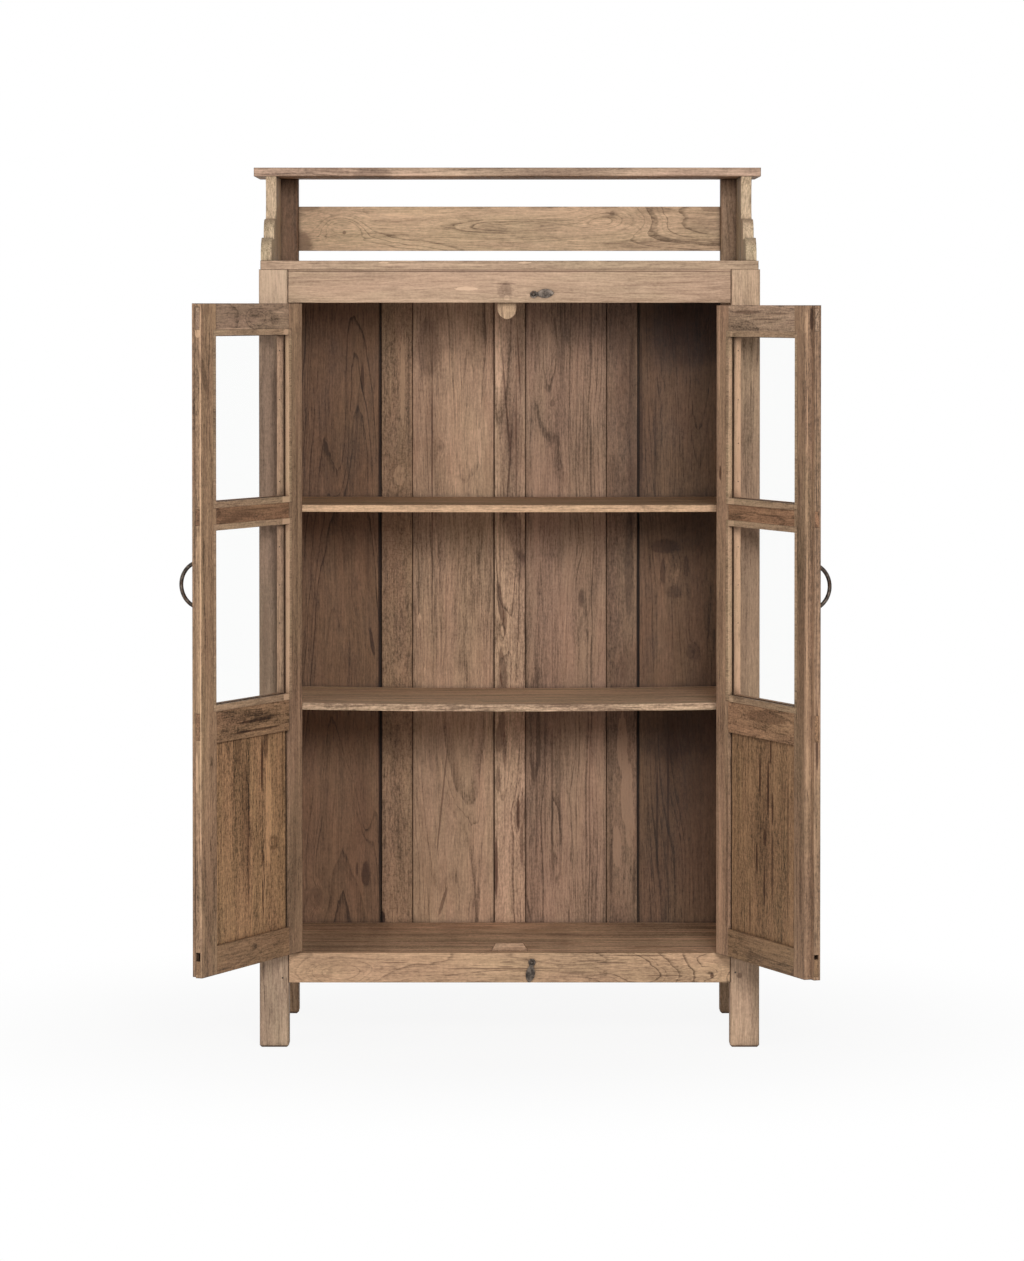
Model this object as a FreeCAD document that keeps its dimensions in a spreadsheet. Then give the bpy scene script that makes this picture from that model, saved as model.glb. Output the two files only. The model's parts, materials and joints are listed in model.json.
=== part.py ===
import FreeCAD, Part
import os
import Sketcher

# Wooden cupboard: four square posts, two glazed frame doors, two shelves and a low gallery on top.
# Millimetres. X points right, Y to the back, Z up. The origin lies on the floor, midway between
# the four posts. The doors are modelled open, as the cupboard is usually shown.

# Driving sizes: name, value, what it is.
SIZES = (
    # Case
    ("case_width", 925.0, "over the posts, side to side"),
    ("case_depth", 500.0, "over the posts, front to back"),
    ("post_side", 54.0, "side of a square post"),
    ("post_rounding", 5.0, "radius of a post's worn corners"),
    ("foot_chamfer", 3.5, "chamfer round the foot of a post"),
    ("leg_clear_height", 120.0, "floor to the underside of the bottom rails"),
    ("bottom_rail_height", 55.0, "height of the bottom rails"),
    ("door_opening_height", 1203.0, "bottom rail to top rail"),
    ("top_rail_height", 61.5, "height of the top rails"),
    ("rail_thickness", 25.5, "front rails, front to back"),
    ("rail_setback", 0.8, "rails stand back from the faces of the posts"),
    ("rear_rail_thickness", 16.0, "rear rails, front to back"),
    ("side_rail_thickness", 22.0, "side rails, across"),
    ("side_rail_setback", 4.0, "side rails stand back from the posts"),
    ("tenon_length", 30.0, "length of a case tenon"),
    ("tenon_thickness", 8.0, "thickness of every tenon"),
    ("tenon_shoulder", 8.0, "shoulder above and below a case tenon"),
    ("joint_clearance", 0.2, "play round tenons, panels and boards in their grooves"),
    # Sides and back
    ("groove_depth", 9.0, "grooves that hold panels and boards"),
    ("side_panel_thickness", 10.0, "boards of the side panels"),
    ("side_panel_recess", 2.5, "side panels behind the outer faces of their rails"),
    ("board_thickness", 13.0, "boards of the back"),
    ("board_end_inset", 5.0, "back boards end short of the rails' outer edges"),
    ("batten_width", 58.6, "strips between the back boards"),
    ("batten_proud", 8.0, "strips stand in front of the boards"),
    ("flange_thickness", 5.0, "rear flange of a strip, behind the boards"),
    ("flange_lap", 8.0, "flange reaches behind a board"),
    ("first_left_gap", 4.8, "open joint on the left of the first strip"),
    ("first_right_gap", 1.2, "joint on its right"),
    ("second_left_gap", 2.4, "joint on the left of the second strip"),
    ("second_right_gap", 1.2, "joint on its right"),
    ("third_left_gap", 1.2, "joint on the left of the third strip"),
    ("third_right_gap", 4.6, "open joint on its right"),
    # Boards that lie flat
    ("bottom_board_thickness", 15.0, "bottom of the lower bay"),
    ("bottom_rebate", 8.0, "rebate in the front rail under the bottom board"),
    ("bottom_side_rebate", 6.5, "rebate in the side rails under the bottom board"),
    ("shelf_thickness", 13.0, "both shelves"),
    ("shelf_setback", 56.0, "front edge of a shelf behind the front plane"),
    ("upper_shelf_height", 828.0, "bottom board to the top of the upper shelf"),
    ("lower_shelf_height", 460.5, "bottom board to the top of the lower shelf"),
    ("upper_shelf_sag", 1.2, "drop at the middle of the upper shelf"),
    ("lower_shelf_sag", 4.5, "drop at the middle of the lower shelf"),
    ("cleat_width", 22.0, "shelf cleats, across"),
    ("cleat_height", 25.0, "shelf cleats, up"),
    ("fit_gap", 0.3, "play at the edges of loose boards"),
    ("case_top_thickness", 16.0, "board on top of the case"),
    ("case_top_inset", 3.0, "case top stands in from the sides"),
    # Gallery
    ("gallery_height", 161.7, "case top to the gallery shelf"),
    ("gallery_shelf_width", 959.5, "gallery shelf, side to side"),
    ("gallery_shelf_offset", -4.0, "gallery shelf from the middle"),
    ("gallery_shelf_depth", 258.0, "gallery shelf, front to back"),
    ("gallery_shelf_thickness", 16.5, "gallery shelf"),
    ("gallery_shelf_overhang", 2.0, "behind the rear posts"),
    ("shelf_rounding", 3.0, "radius of the gallery shelf's long edges"),
    ("gallery_board_height", 85.5, "board between the rear posts"),
    ("gallery_board_lift", 23.2, "case top to that board"),
    ("gallery_board_thickness", 18.0, "that board, front to back"),
    ("bracket_thickness", 20.0, "scalloped bracket, across"),
    ("left_bracket_inset", 1.0, "left bracket in from the side of the posts"),
    ("right_bracket_inset", 4.0, "right bracket in from the side of the posts"),
    ("bracket_toe_setback", 55.0, "toe of a bracket behind the front plane"),
    ("bracket_head_setback", 4.0, "head of a bracket behind the shelf's front edge"),
    # Doors
    ("door_thickness", 25.0, "frame of a door"),
    ("door_recess", 0.5, "closed doors behind the front plane"),
    ("door_side_gap", 1.6, "post to door"),
    ("door_bottom_gap", 1.4, "bottom rail to door"),
    ("door_top_gap", 4.6, "door to top rail"),
    ("left_door_lift", 3.4, "left door hangs higher than the right one"),
    ("meeting_gap", 1.2, "play between the two meeting stiles"),
    ("meeting_lap", 13.0, "right door laps over the left one"),
    ("lap_depth", 12.5, "outer part of the lap, through the thickness"),
    ("hinge_stile_width", 55.5, "stile on the hinges"),
    ("meeting_stile_width", 59.5, "stile at the middle, with its lap"),
    ("door_top_rail_height", 58.7, "top rail of a door"),
    ("middle_rail_height", 53.0, "rail between the panes"),
    ("lock_rail_height", 68.6, "rail above the wooden panel"),
    ("door_bottom_rail_height", 50.9, "bottom rail of a door"),
    ("lower_light_height", 309.4, "opening of the lower pane"),
    ("panel_opening_height", 362.5, "opening of the wooden panel"),
    ("outer_shoulder", 6.0, "shoulder of a tenon at the end of a stile"),
    ("hinge_tenon_length", 36.0, "blind tenon in the hinge stile"),
    ("left_mortise_slack", 15.0, "left door's bottom mortises, taller than their tenon"),
    ("right_mortise_slack", 8.0, "right door's bottom mortises, taller than their tenon"),
    ("left_tenon_depth", 13.2, "left door's tenons behind its outer face, clear of its lap"),
    ("right_tenon_depth", 3.4, "right door's tenons behind its outer face, in its lap"),
    ("lip_width", 1.0, "outer lip that shows beside a bead"),
    ("bead_width", 11.0, "glazing bead, across its face"),
    ("bead_thickness", 8.0, "glazing bead, through the door"),
    ("pane_thickness", 3.0, "glass"),
    ("pane_play", 0.3, "play each side of the glass"),
    ("pane_edge_gap", 2.0, "glass short of the rebate, all round"),
    ("panel_thickness", 8.0, "wooden panel of a door"),
    ("panel_recess", 6.0, "panel behind the inner face of the frame"),
    ("panel_shrinkage", 4.5, "open gap beside the hinge stile, where the panel has shrunk"),
    ("panel_joint_gap", 0.5, "joint between the two boards of a panel"),
    # Swing
    ("left_open_angle", 113.2, "degrees that the left door stands open"),
    ("right_open_angle", 110.7, "degrees that the right door stands open"),
    # Hinges
    ("hinge_forward", 2.5, "hinge pin in front of the front plane"),
    ("hinge_length", 66.0, "leaf and barrel of a butt hinge"),
    ("hinge_end_distance", 105.0, "end of the door to the nearest leaf"),
    ("leaf_thickness", 1.8, "leaf of a hinge"),
    ("leaf_width", 19.0, "leaf, from the face of the wood inward"),
    ("barrel_radius", 4.0, "barrel of a hinge"),
    ("pin_radius", 1.8, "hinge pin"),
    ("pin_clearance", 0.06, "pin in a moving knuckle, on the radius"),
    ("pin_overrun", 1.5, "pin beyond each end of the barrel"),
    ("knuckle_clearance", 0.4, "between knuckles, and round the barrel"),
    # Handles
    ("handle_height", 873.0, "floor to the middle of a pull"),
    ("handle_edge_distance", 38.0, "middle of a pull to the edge of the door"),
    ("handle_span", 82.0, "between the feet of the bow"),
    ("handle_reach", 38.0, "bow in front of the door, over all"),
    ("handle_rod_radius", 3.6, "iron rod of the bow"),
    ("handle_leaf_length", 36.0, "forged leaf at each foot"),
    ("handle_leaf_width", 15.0, "that leaf, across"),
    ("handle_leaf_height", 2.6, "that leaf, at its crown"),
    ("handle_leaf_shift", 5.0, "leaf's middle beyond the foot of the bow"),
    # Turn latches
    ("latch_head_radius", 6.7, "round head of a latch"),
    ("latch_length", 38.0, "pivot to the tip of the leaf"),
    ("latch_width", 18.0, "leaf of a latch, across"),
    ("latch_thickness", 2.6, "leaf of a latch"),
    ("latch_standoff", 0.8, "leaf in front of the front plane"),
    ("latch_boss_radius", 5.6, "boss behind the head"),
    ("latch_screw_radius", 2.0, "screw that a latch turns on"),
    ("latch_screw_depth", 15.0, "screw in the rail"),
    ("latch_screw_head_radius", 4.2, "head of that screw"),
    ("latch_screw_head_height", 2.0, "head of that screw"),
    ("latch_play", 0.05, "screw in the latch, on the radius"),
    ("latch_end_play", 0.2, "latch between the rail and the screw's head"),
    ("upper_latch_offset", 44.6, "upper latch right of the middle"),
    ("upper_latch_drop", 46.1, "case top to the upper latch"),
    ("upper_latch_tilt", -3.0, "degrees, tip a little up"),
    ("lower_latch_offset", 41.6, "lower latch right of the middle"),
    ("lower_latch_rise", 37.8, "underside of the bottom rail to the lower latch"),
    ("lower_latch_tilt", 99.5, "degrees, tip hanging down"),
    # Door stops
    ("upper_stop_width", 34.6, "tongue behind the top rail"),
    ("upper_stop_drop", 31.0, "tongue below the top rail"),
    ("upper_stop_rise", 46.0, "tongue behind the top rail, upward"),
    ("upper_stop_offset", -4.7, "tongue from the middle"),
    ("lower_stop_width", 67.6, "block on the bottom board, at its foot"),
    ("lower_stop_top_width", 51.2, "block, at its top"),
    ("lower_stop_height", 14.3, "block"),
    ("stop_thickness", 16.0, "both stops, front to back"),
    # Cutting
    ("overrun", 2.0, "tools run past the faces that they cut"),
)

SIDE_BOARD_COUNT = 3
BACK_BOARD_COUNT = 4
HINGE_COUNT = 3
# Where the joint between the two boards of a door panel lies, as a share of the panel's width.
PANEL_JOINT_SHARES = {"left": 0.31, "right": 0.60}
# Half of a quarter arc stands in from its corner by this share of the radius.
CORNER_ARC_SHARE = 0.2929
# Front edge of a bracket, from toe to head: shares of its reach and of its height.
# A point marked "via" lies on the arc between its two neighbours.
BRACKET_SHARES = (
    (0.0, 0.0), (0.0, 0.10), (0.08, 0.21, "via"), (0.34, 0.245),
    (0.58, 0.255), (0.62, 0.41, "via"), (0.76, 0.49),
    (1.02, 0.505), (1.06, 0.70, "via"), (1.0, 1.0),
)
# Leaf of a latch: shares of its length, along, and of its width, across.
LATCH_LEAF_SHARES = (
    (0.23, -0.20), (0.48, -0.42, "via"), (1.0, 0.03),
    (0.60, 0.50, "via"), (0.23, 0.22),
)
# The neck of a latch leaves its round head here, as shares of the head's radius.
LATCH_NECK_SHARES = (0.86, 0.50)
# Rounded end of the upper stop: shares of its width, across, and of its drop, downward.
STOP_SHARES = (
    (-0.5, -0.42), (-0.38, -0.76, "via"), (0.05, -1.0), (0.40, -0.74, "via"), (0.5, -0.36),
)


class Size:
    """A length that carries the expression it comes from, so that objects can be bound to it."""

    def __init__(self, number, text):
        self.number = number
        self.text = text

    def joined(self, sign, other, number):
        text = other.text if isinstance(other, Size) else repr(other)
        return Size(number, f"({self.text} {sign} {text})")

    def __add__(self, other):
        return self.joined("+", other, self.number + number_of(other))

    def __sub__(self, other):
        return self.joined("-", other, self.number - number_of(other))

    def __mul__(self, other):
        return self.joined("*", other, self.number * number_of(other))

    def __truediv__(self, other):
        return self.joined("/", other, self.number / number_of(other))

    def __neg__(self):
        return Size(-self.number, f"(0 - {self.text})")


def number_of(value):
    return value.number if isinstance(value, Size) else value


class Sizes:
    """The driving sizes, one attribute each."""


def fill_sheet(doc):
    """Writes the driving sizes to a spreadsheet and returns them as bindable lengths."""
    sheet = doc.addObject("Spreadsheet::Sheet", "sizes")
    s = Sizes()
    for row, (name, value, note) in enumerate(SIZES, 1):
        sheet.set(f"A{row}", note)
        sheet.set(f"B{row}", str(value))
        sheet.setAlias(f"B{row}", name)
        setattr(s, name, Size(value, f"sizes.{name}"))
    doc.recompute()
    return s


doc = FreeCAD.newDocument("cupboard")
s = fill_sheet(doc)
ZERO = Size(0.0, "0")
pieces = {}

# Levels and planes that several pieces share.
half_width = s.case_width / 2
inner_x = half_width - s.post_side
front_y = -s.case_depth / 2
back_y = s.case_depth / 2
inner_front_y = front_y + s.post_side
inner_back_y = back_y - s.post_side
floor_z = s.leg_clear_height + s.bottom_rail_height
head_z = floor_z + s.door_opening_height
case_top_z = head_z + s.top_rail_height
deck_z = case_top_z + s.case_top_thickness
gallery_z = deck_z + s.gallery_height
rear_rail_y = back_y - s.rail_setback - s.rear_rail_thickness
board_y = rear_rail_y - s.board_thickness
batten_y = board_y - s.batten_proud
stop_y = front_y + s.rail_setback + s.rail_thickness


# Helpers

def bind(obj, prop, value):
    """Binds one property to a size; zero stays a plain zero."""
    if isinstance(value, Size):
        obj.setExpression(prop, value.text)


def place(obj, x, y, z):
    bind(obj, "Placement.Base.x", x)
    bind(obj, "Placement.Base.y", y)
    bind(obj, "Placement.Base.z", z)
    return obj


def keep(label, obj):
    """Names a finished piece."""
    obj.Label = label
    pieces[label] = obj
    return obj


def box(x, y, z, dx, dy, dz):
    obj = doc.addObject("Part::Box", "board")
    bind(obj, "Length", dx)
    bind(obj, "Width", dy)
    bind(obj, "Height", dz)
    return place(obj, x, y, z)


def grown_box(x, y, z, dx, dy, dz, play):
    """A box with play added on every side."""
    return box(x - play, y - play, z - play, dx + play * 2, dy + play * 2, dz + play * 2)


def upright(x, y, z, radius, height):
    """A cylinder along Z."""
    obj = doc.addObject("Part::Cylinder", "round")
    bind(obj, "Radius", radius)
    bind(obj, "Height", height)
    return place(obj, x, y, z)


def fused(parts):
    obj = doc.addObject("Part::MultiFuse", "joined")
    obj.Shapes = parts
    return obj


def compound(parts):
    obj = doc.addObject("Part::Compound", "group")
    obj.Links = parts
    return obj


def cut(base, tools):
    obj = doc.addObject("Part::Cut", "cut")
    obj.Base = base
    obj.Tool = tools[0] if len(tools) == 1 else compound(tools)
    return obj


def common(base, tool):
    obj = doc.addObject("Part::Common", "common")
    obj.Base = base
    obj.Tool = tool
    return obj


def origin_plane(body, role):
    return next(f for f in body.Origin.OriginFeatures if f.Role == role)


def near(sketch, geometry, point):
    """Which end of a sketch line or arc lies at a point."""
    gaps = [(sketch.getPoint(geometry, end) - point).Length for end in (1, 2)]
    return 1 if gaps[0] < gaps[1] else 2


def draw_outline(sketch, path):
    """A closed outline of lines and arcs, each of its points held by two bound distances."""
    spots = []
    for point in path:
        x, y = point[0], point[1]
        spot = FreeCAD.Vector(number_of(x), number_of(y), 0)
        index = sketch.addGeometry(Part.Point(spot), True)
        for kind, value in (("DistanceX", x), ("DistanceY", y)):
            constraint = sketch.addConstraint(
                Sketcher.Constraint(kind, -1, 1, index, 1, number_of(value)))
            if isinstance(value, Size):
                sketch.setExpression(f"Constraints[{constraint}]", value.text)
        spots.append((index, spot, len(point) > 2))
    count = len(spots)
    for i in range(count):
        if spots[i][2]:
            continue
        follow = spots[(i + 1) % count]
        last = spots[(i + 2) % count] if follow[2] else follow
        if follow[2]:
            edge = Part.Arc(spots[i][1], follow[1], last[1])
        else:
            edge = Part.LineSegment(spots[i][1], last[1])
        geometry = sketch.addGeometry(edge, False)
        first_end = near(sketch, geometry, spots[i][1])
        sketch.addConstraint(Sketcher.Constraint("Coincident", geometry, first_end, spots[i][0], 1))
        sketch.addConstraint(Sketcher.Constraint("Coincident", geometry, 3 - first_end, last[0], 1))
        if follow[2]:
            sketch.addConstraint(Sketcher.Constraint("PointOnObject", follow[0], 1, geometry))


def solid_from(role, path, depth, backward=False):
    """A body: one outline on an origin plane, padded to a depth."""
    body = doc.addObject("PartDesign::Body", "body")
    sketch = body.newObject("Sketcher::SketchObject", "outline")
    sketch.AttachmentSupport = [(origin_plane(body, role), "")]
    sketch.MapMode = "FlatFace"
    draw_outline(sketch, path)
    pad = body.newObject("PartDesign::Pad", "pad")
    pad.Profile = sketch
    bind(pad, "Length", depth)
    pad.Reversed = backward
    body.Tip = pad
    return body


def plan(path, height):
    """A body whose outline lies in X and Y, and which stands along Z."""
    return solid_from("XY_Plane", path, height)


def elevation(path, depth):
    """A body whose outline lies in X and Z, and which runs back along Y."""
    return solid_from("XZ_Plane", path, depth, backward=True)


def profile(path, length):
    """A body whose outline lies in Y and Z, and which runs right along X."""
    return solid_from("YZ_Plane", path, length)


def rounded_rectangle(x, y, dx, dy, radius):
    """Corners as quarter arcs, each through one point on its bisector."""
    inset = radius * CORNER_ARC_SHARE
    right = x + dx
    top = y + dy
    return (
        (x + radius, y), (right - radius, y), (right - inset, y + inset, "via"),
        (right, y + radius), (right, top - radius), (right - inset, top - inset, "via"),
        (right - radius, top), (x + radius, top), (x + inset, top - inset, "via"),
        (x, top - radius), (x, y + radius), (x + inset, y + inset, "via"),
    )


# Case frame

def rail(label, x, y, z, dx, dy, dz, along, shoulder):
    """A rail with a tenon at each end. Returns the rail and the tool that cuts its mortises."""
    body = box(x, y, z, dx, dy, dz)
    if along == "x":
        bar = (x - s.tenon_length, y + (dy - s.tenon_thickness) / 2, z + shoulder,
               dx + s.tenon_length * 2, s.tenon_thickness, dz - shoulder * 2)
    else:
        bar = (x + (dx - s.tenon_thickness) / 2, y - s.tenon_length, z + shoulder,
               s.tenon_thickness, dy + s.tenon_length * 2, dz - shoulder * 2)
    return fused([body, box(*bar)]), grown_box(*bar, s.joint_clearance)


def latch_holes(places):
    """Holes in the rails for the screws of the latches."""
    holes = []
    for x, z in places:
        hole = doc.addObject("Part::Cylinder", "hole")
        hole.Placement.Rotation = FreeCAD.Rotation(FreeCAD.Vector(1, 0, 0), -90)
        bind(hole, "Radius", s.latch_screw_radius)
        bind(hole, "Height", s.latch_screw_depth)
        holes.append(place(hole, x, front_y, z))
    return holes


upper_latch_place = (s.upper_latch_offset, case_top_z - s.upper_latch_drop)
lower_latch_place = (s.lower_latch_offset, s.leg_clear_height + s.lower_latch_rise)
rail_front_y = front_y + s.rail_setback
bottom_board_z = floor_z - s.bottom_board_thickness
side_rail_face = half_width - s.side_rail_setback - s.side_rail_thickness
side_panel_face = (half_width - s.side_rail_setback - s.side_panel_recess
                   - s.side_panel_thickness)
inner_width = inner_x * 2
side_length = inner_back_y - inner_front_y


def make_rails():
    """Front, rear and side rails. Returns the mortise tools, by the posts that they cut."""
    tools = {"front": [], "rear": [], "left": [], "right": []}
    front_y_rebate = rail_front_y + s.rail_thickness - s.bottom_rebate
    rebate = box(-inner_x - s.overrun, front_y_rebate, bottom_board_z,
                 inner_width + s.overrun * 2, s.bottom_rebate + s.overrun,
                 s.bottom_board_thickness + s.overrun)
    levels = (("bottom", s.leg_clear_height, s.bottom_rail_height),
              ("top", head_z, s.top_rail_height))
    for level, z, height in levels:
        front, tool = rail("", -inner_x, rail_front_y, z, inner_width, s.rail_thickness, height,
                           "x", s.tenon_shoulder)
        tools["front"].append(tool)
        if level == "bottom":
            # The screw holes and the rebate stay clear of the tenons.
            front = cut(front, [rebate] + latch_holes([lower_latch_place]))
        else:
            front = cut(front, latch_holes([upper_latch_place]))
        keep(f"front_{level}_rail", front)
        rear, tool = rail("", -inner_x, rear_rail_y, z, inner_width, s.rear_rail_thickness,
                          height, "x", s.tenon_shoulder)
        tools["rear"].append(tool)
        keep(f"rear_{level}_rail", rear)
        for side, sign in (("left", -1), ("right", 1)):
            x = side_rail_face if sign > 0 else -side_rail_face - s.side_rail_thickness
            bar, tool = rail("", x, inner_front_y, z, s.side_rail_thickness, side_length, height,
                             "y", s.tenon_shoulder)
            tools[side].append(tool)
            cuts = [panel_groove(side)]
            if level == "bottom":
                cuts.append(side_rebate(sign))
            keep(f"{side}_side_{level}_rail", cut(bar, cuts))
    return tools


def side_panel_x(side):
    """Left face of a side panel."""
    return -side_panel_face - s.side_panel_thickness if side == "left" else side_panel_face


def panel_groove(side):
    """The groove round a side panel, in its posts and rails."""
    return box(side_panel_x(side) - s.joint_clearance, inner_front_y - s.groove_depth,
               floor_z - s.groove_depth,
               s.side_panel_thickness + s.joint_clearance * 2,
               side_length + s.groove_depth * 2, s.door_opening_height + s.groove_depth * 2)


def side_rebate(sign):
    """The bottom board lies in a rebate of each side rail."""
    x = side_rail_face - s.overrun if sign > 0 else -side_rail_face - s.bottom_side_rebate
    return box(x, inner_front_y - s.overrun, bottom_board_z,
               s.bottom_side_rebate + s.overrun, side_length + s.overrun * 2,
               s.bottom_board_thickness + s.overrun)


def make_side_panels():
    for side in ("left", "right"):
        play = s.joint_clearance * 2
        start = inner_front_y - s.groove_depth + play
        width = (side_length + s.groove_depth * 2 - play * 2) / SIDE_BOARD_COUNT
        boards = []
        for i in range(SIDE_BOARD_COUNT):
            boards.append(box(side_panel_x(side), start + width * i,
                              floor_z - s.groove_depth + play, s.side_panel_thickness,
                              width - s.panel_joint_gap,
                              s.door_opening_height + s.groove_depth * 2 - play * 2))
        keep(f"{side}_side_panel", compound(boards))


# Posts

def hinge_levels():
    """Lower end of each hinge, evenly spread between the two outer ones."""
    bottom = floor_z + s.door_bottom_gap + s.hinge_end_distance
    top = head_z - s.door_top_gap - s.hinge_end_distance - s.hinge_length
    step = (top - bottom) / (HINGE_COUNT - 1)
    return [bottom + step * i for i in range(HINGE_COUNT)]


def hinge_gains(hand, into_door):
    """Cuts for the hinges in a post or a stile, round a pin that stands at the origin."""
    cuts = []
    face = s.hinge_forward + (s.door_recess if into_door else ZERO)
    depth = s.leaf_thickness
    away = 1 if into_door else -1
    for level in hinge_levels():
        start = s.door_side_gap / 2 - s.overrun
        width = s.overrun + depth
        x = start if away * hand > 0 else -start - width
        cuts.append(box(x, face - s.overrun, level - s.joint_clearance, width,
                        s.leaf_width + s.overrun, s.hinge_length + s.joint_clearance * 2))
        cuts.append(upright(ZERO, ZERO, level - s.knuckle_clearance,
                            s.barrel_radius + s.knuckle_clearance,
                            s.hinge_length + s.knuckle_clearance * 2))
    return cuts


def pin_x(hand):
    """The hinge pin stands in the middle of the gap beside its door."""
    x = inner_x - s.door_side_gap / 2
    return -x if hand > 0 else x


def lift(hand):
    """How much higher a door hangs, with its hinges."""
    return s.left_door_lift if hand > 0 else ZERO


pin_y = front_y - s.hinge_forward


def make_posts(tools):
    """Four posts. The rear ones run on up to the gallery shelf."""
    back_groove = box(-inner_x - s.groove_depth, board_y - s.joint_clearance,
                      s.leg_clear_height + s.board_end_inset - s.joint_clearance,
                      inner_width + s.groove_depth * 2, s.board_thickness + s.joint_clearance,
                      case_top_z - s.leg_clear_height - s.board_end_inset)
    for end in ("front", "rear"):
        y = front_y if end == "front" else inner_back_y
        height = case_top_z if end == "front" else gallery_z
        for side, hand in (("left", 1), ("right", -1)):
            x = -half_width if side == "left" else inner_x
            post = plan(rounded_rectangle(x, y, s.post_side, s.post_side, s.post_rounding), height)
            doc.recompute()
            pad = post.Tip
            feet = [f"Edge{i}" for i, edge in enumerate(pad.Shape.Edges, 1)
                    if edge.BoundBox.ZMax < s.foot_chamfer.number]
            chamfer = post.newObject("PartDesign::Chamfer", "foot")
            chamfer.Base = (pad, feet)
            bind(chamfer, "Size", s.foot_chamfer)
            post.Tip = chamfer
            cuts = list(tools[end]) + list(tools[side]) + [panel_groove(side)]
            if end == "rear":
                cuts.append(back_groove)
            else:
                gains = compound(hinge_gains(hand, into_door=False))
                cuts.append(place(gains, pin_x(hand), pin_y, lift(hand)))
            keep(f"{end}_{side}_post", cut(post, cuts))


# Back

def make_back():
    """Boards between strips. A strip's rear flange closes the joints behind the boards."""
    gaps = ((s.first_left_gap, s.first_right_gap), (s.second_left_gap, s.second_right_gap),
            (s.third_left_gap, s.third_right_gap))
    taken = ZERO
    for left_gap, right_gap in gaps:
        taken = taken + s.batten_width + left_gap + right_gap
    width = (inner_width - taken) / BACK_BOARD_COUNT
    rear = rear_rail_y
    step = rear - s.flange_thickness
    board_step = step - s.joint_clearance
    z = s.leg_clear_height + s.board_end_inset
    height = case_top_z - z - s.fit_gap
    tongue = s.groove_depth - s.joint_clearance
    under = s.flange_lap + s.fit_gap
    start = -inner_x
    strips = []
    for i in range(BACK_BOARD_COUNT):
        left = start
        right = left + width
        if i == 0:
            left = left - tongue
            left_back = left
        else:
            left_back = left + under - gaps[i - 1][1]
        if i == BACK_BOARD_COUNT - 1:
            right = right + tongue
            right_back = right
        else:
            right_back = right - under + gaps[i][0]
            strip = right + gaps[i][0]
            start = strip + s.batten_width + gaps[i][1]
            strips.append(strip)
        path = [(left, board_y), (right, board_y)]
        if i < BACK_BOARD_COUNT - 1:
            path += [(right, board_step), (right_back, board_step)]
        path += [(right_back, rear), (left_back, rear)]
        if i > 0:
            path += [(left_back, board_step), (left, board_step)]
        keep(f"back_board_{i + 1}", place(plan(path, height), ZERO, ZERO, z))
    for i, left in enumerate(strips):
        right = left + s.batten_width
        path = ((left, batten_y), (right, batten_y), (right, step),
                (right + s.flange_lap, step), (right + s.flange_lap, rear),
                (left - s.flange_lap, rear), (left - s.flange_lap, step), (left, step))
        keep(f"back_batten_{i + 1}", place(plan(path, height), ZERO, ZERO, z))


# Bottom board, shelves and case top

def make_bottom_board():
    """Fills the case from the front rail to the back, notched round the four posts."""
    play = s.fit_gap
    front = rail_front_y + s.rail_thickness - s.bottom_rebate
    rear = batten_y - play
    narrow = inner_x - play
    wide = side_rail_face + s.bottom_side_rebate - play
    shoulder_front = inner_front_y + play
    shoulder_rear = inner_back_y - play
    path = ((-narrow, front), (narrow, front), (narrow, shoulder_front), (wide, shoulder_front),
            (wide, shoulder_rear), (narrow, shoulder_rear), (narrow, rear), (-narrow, rear),
            (-narrow, shoulder_rear), (-wide, shoulder_rear), (-wide, shoulder_front),
            (-narrow, shoulder_front))
    keep("bottom_board", place(plan(path, s.bottom_board_thickness), ZERO, ZERO, bottom_board_z))


def make_shelves():
    """Two loose shelves on cleats, a little bent under their load, notched at the rear posts."""
    play = s.fit_gap
    wide = side_panel_face - play
    front = front_y + s.shelf_setback
    depth = batten_y - play - front
    cleats = []
    levels = (("upper", s.upper_shelf_height, s.upper_shelf_sag),
              ("lower", s.lower_shelf_height, s.lower_shelf_sag))
    for name, height, sag in levels:
        top = floor_z + height
        bottom = top - s.shelf_thickness
        path = ((-wide, bottom), (ZERO, bottom - sag, "via"), (wide, bottom),
                (wide, top), (ZERO, top - sag, "via"), (-wide, top))
        shelf = place(elevation(path, depth), ZERO, front, ZERO)
        notches = []
        for x in (-wide - s.overrun, inner_x - play):
            notches.append(box(x, inner_back_y - play, bottom - sag - s.overrun,
                               wide - inner_x + play + s.overrun, s.post_side,
                               s.shelf_thickness + sag + s.overrun * 2))
        keep(f"{name}_shelf", cut(shelf, notches))
        # The underside rises a little above a cleat's inner edge, so the cleat stays under its end.
        for x in (-inner_x - s.cleat_width, inner_x):
            cleats.append(box(x, inner_front_y, bottom - s.cleat_height - cleat_drop(sag, wide),
                              s.cleat_width, side_length, s.cleat_height))
    keep("shelf_cleats", compound(cleats))


def cleat_drop(sag, wide):
    """How far a sagging shelf has dropped where it leaves its cleat."""
    edge = inner_x / wide
    return sag - sag * edge * edge


def make_case_top():
    play = s.fit_gap
    wide = half_width - s.case_top_inset
    narrow = inner_x - play
    shoulder = inner_back_y - play
    path = ((-wide, front_y), (wide, front_y), (wide, shoulder), (narrow, shoulder),
            (narrow, back_y), (-narrow, back_y), (-narrow, shoulder), (-wide, shoulder))
    keep("case_top_board", place(plan(path, s.case_top_thickness), ZERO, ZERO, case_top_z))


# Gallery

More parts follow.
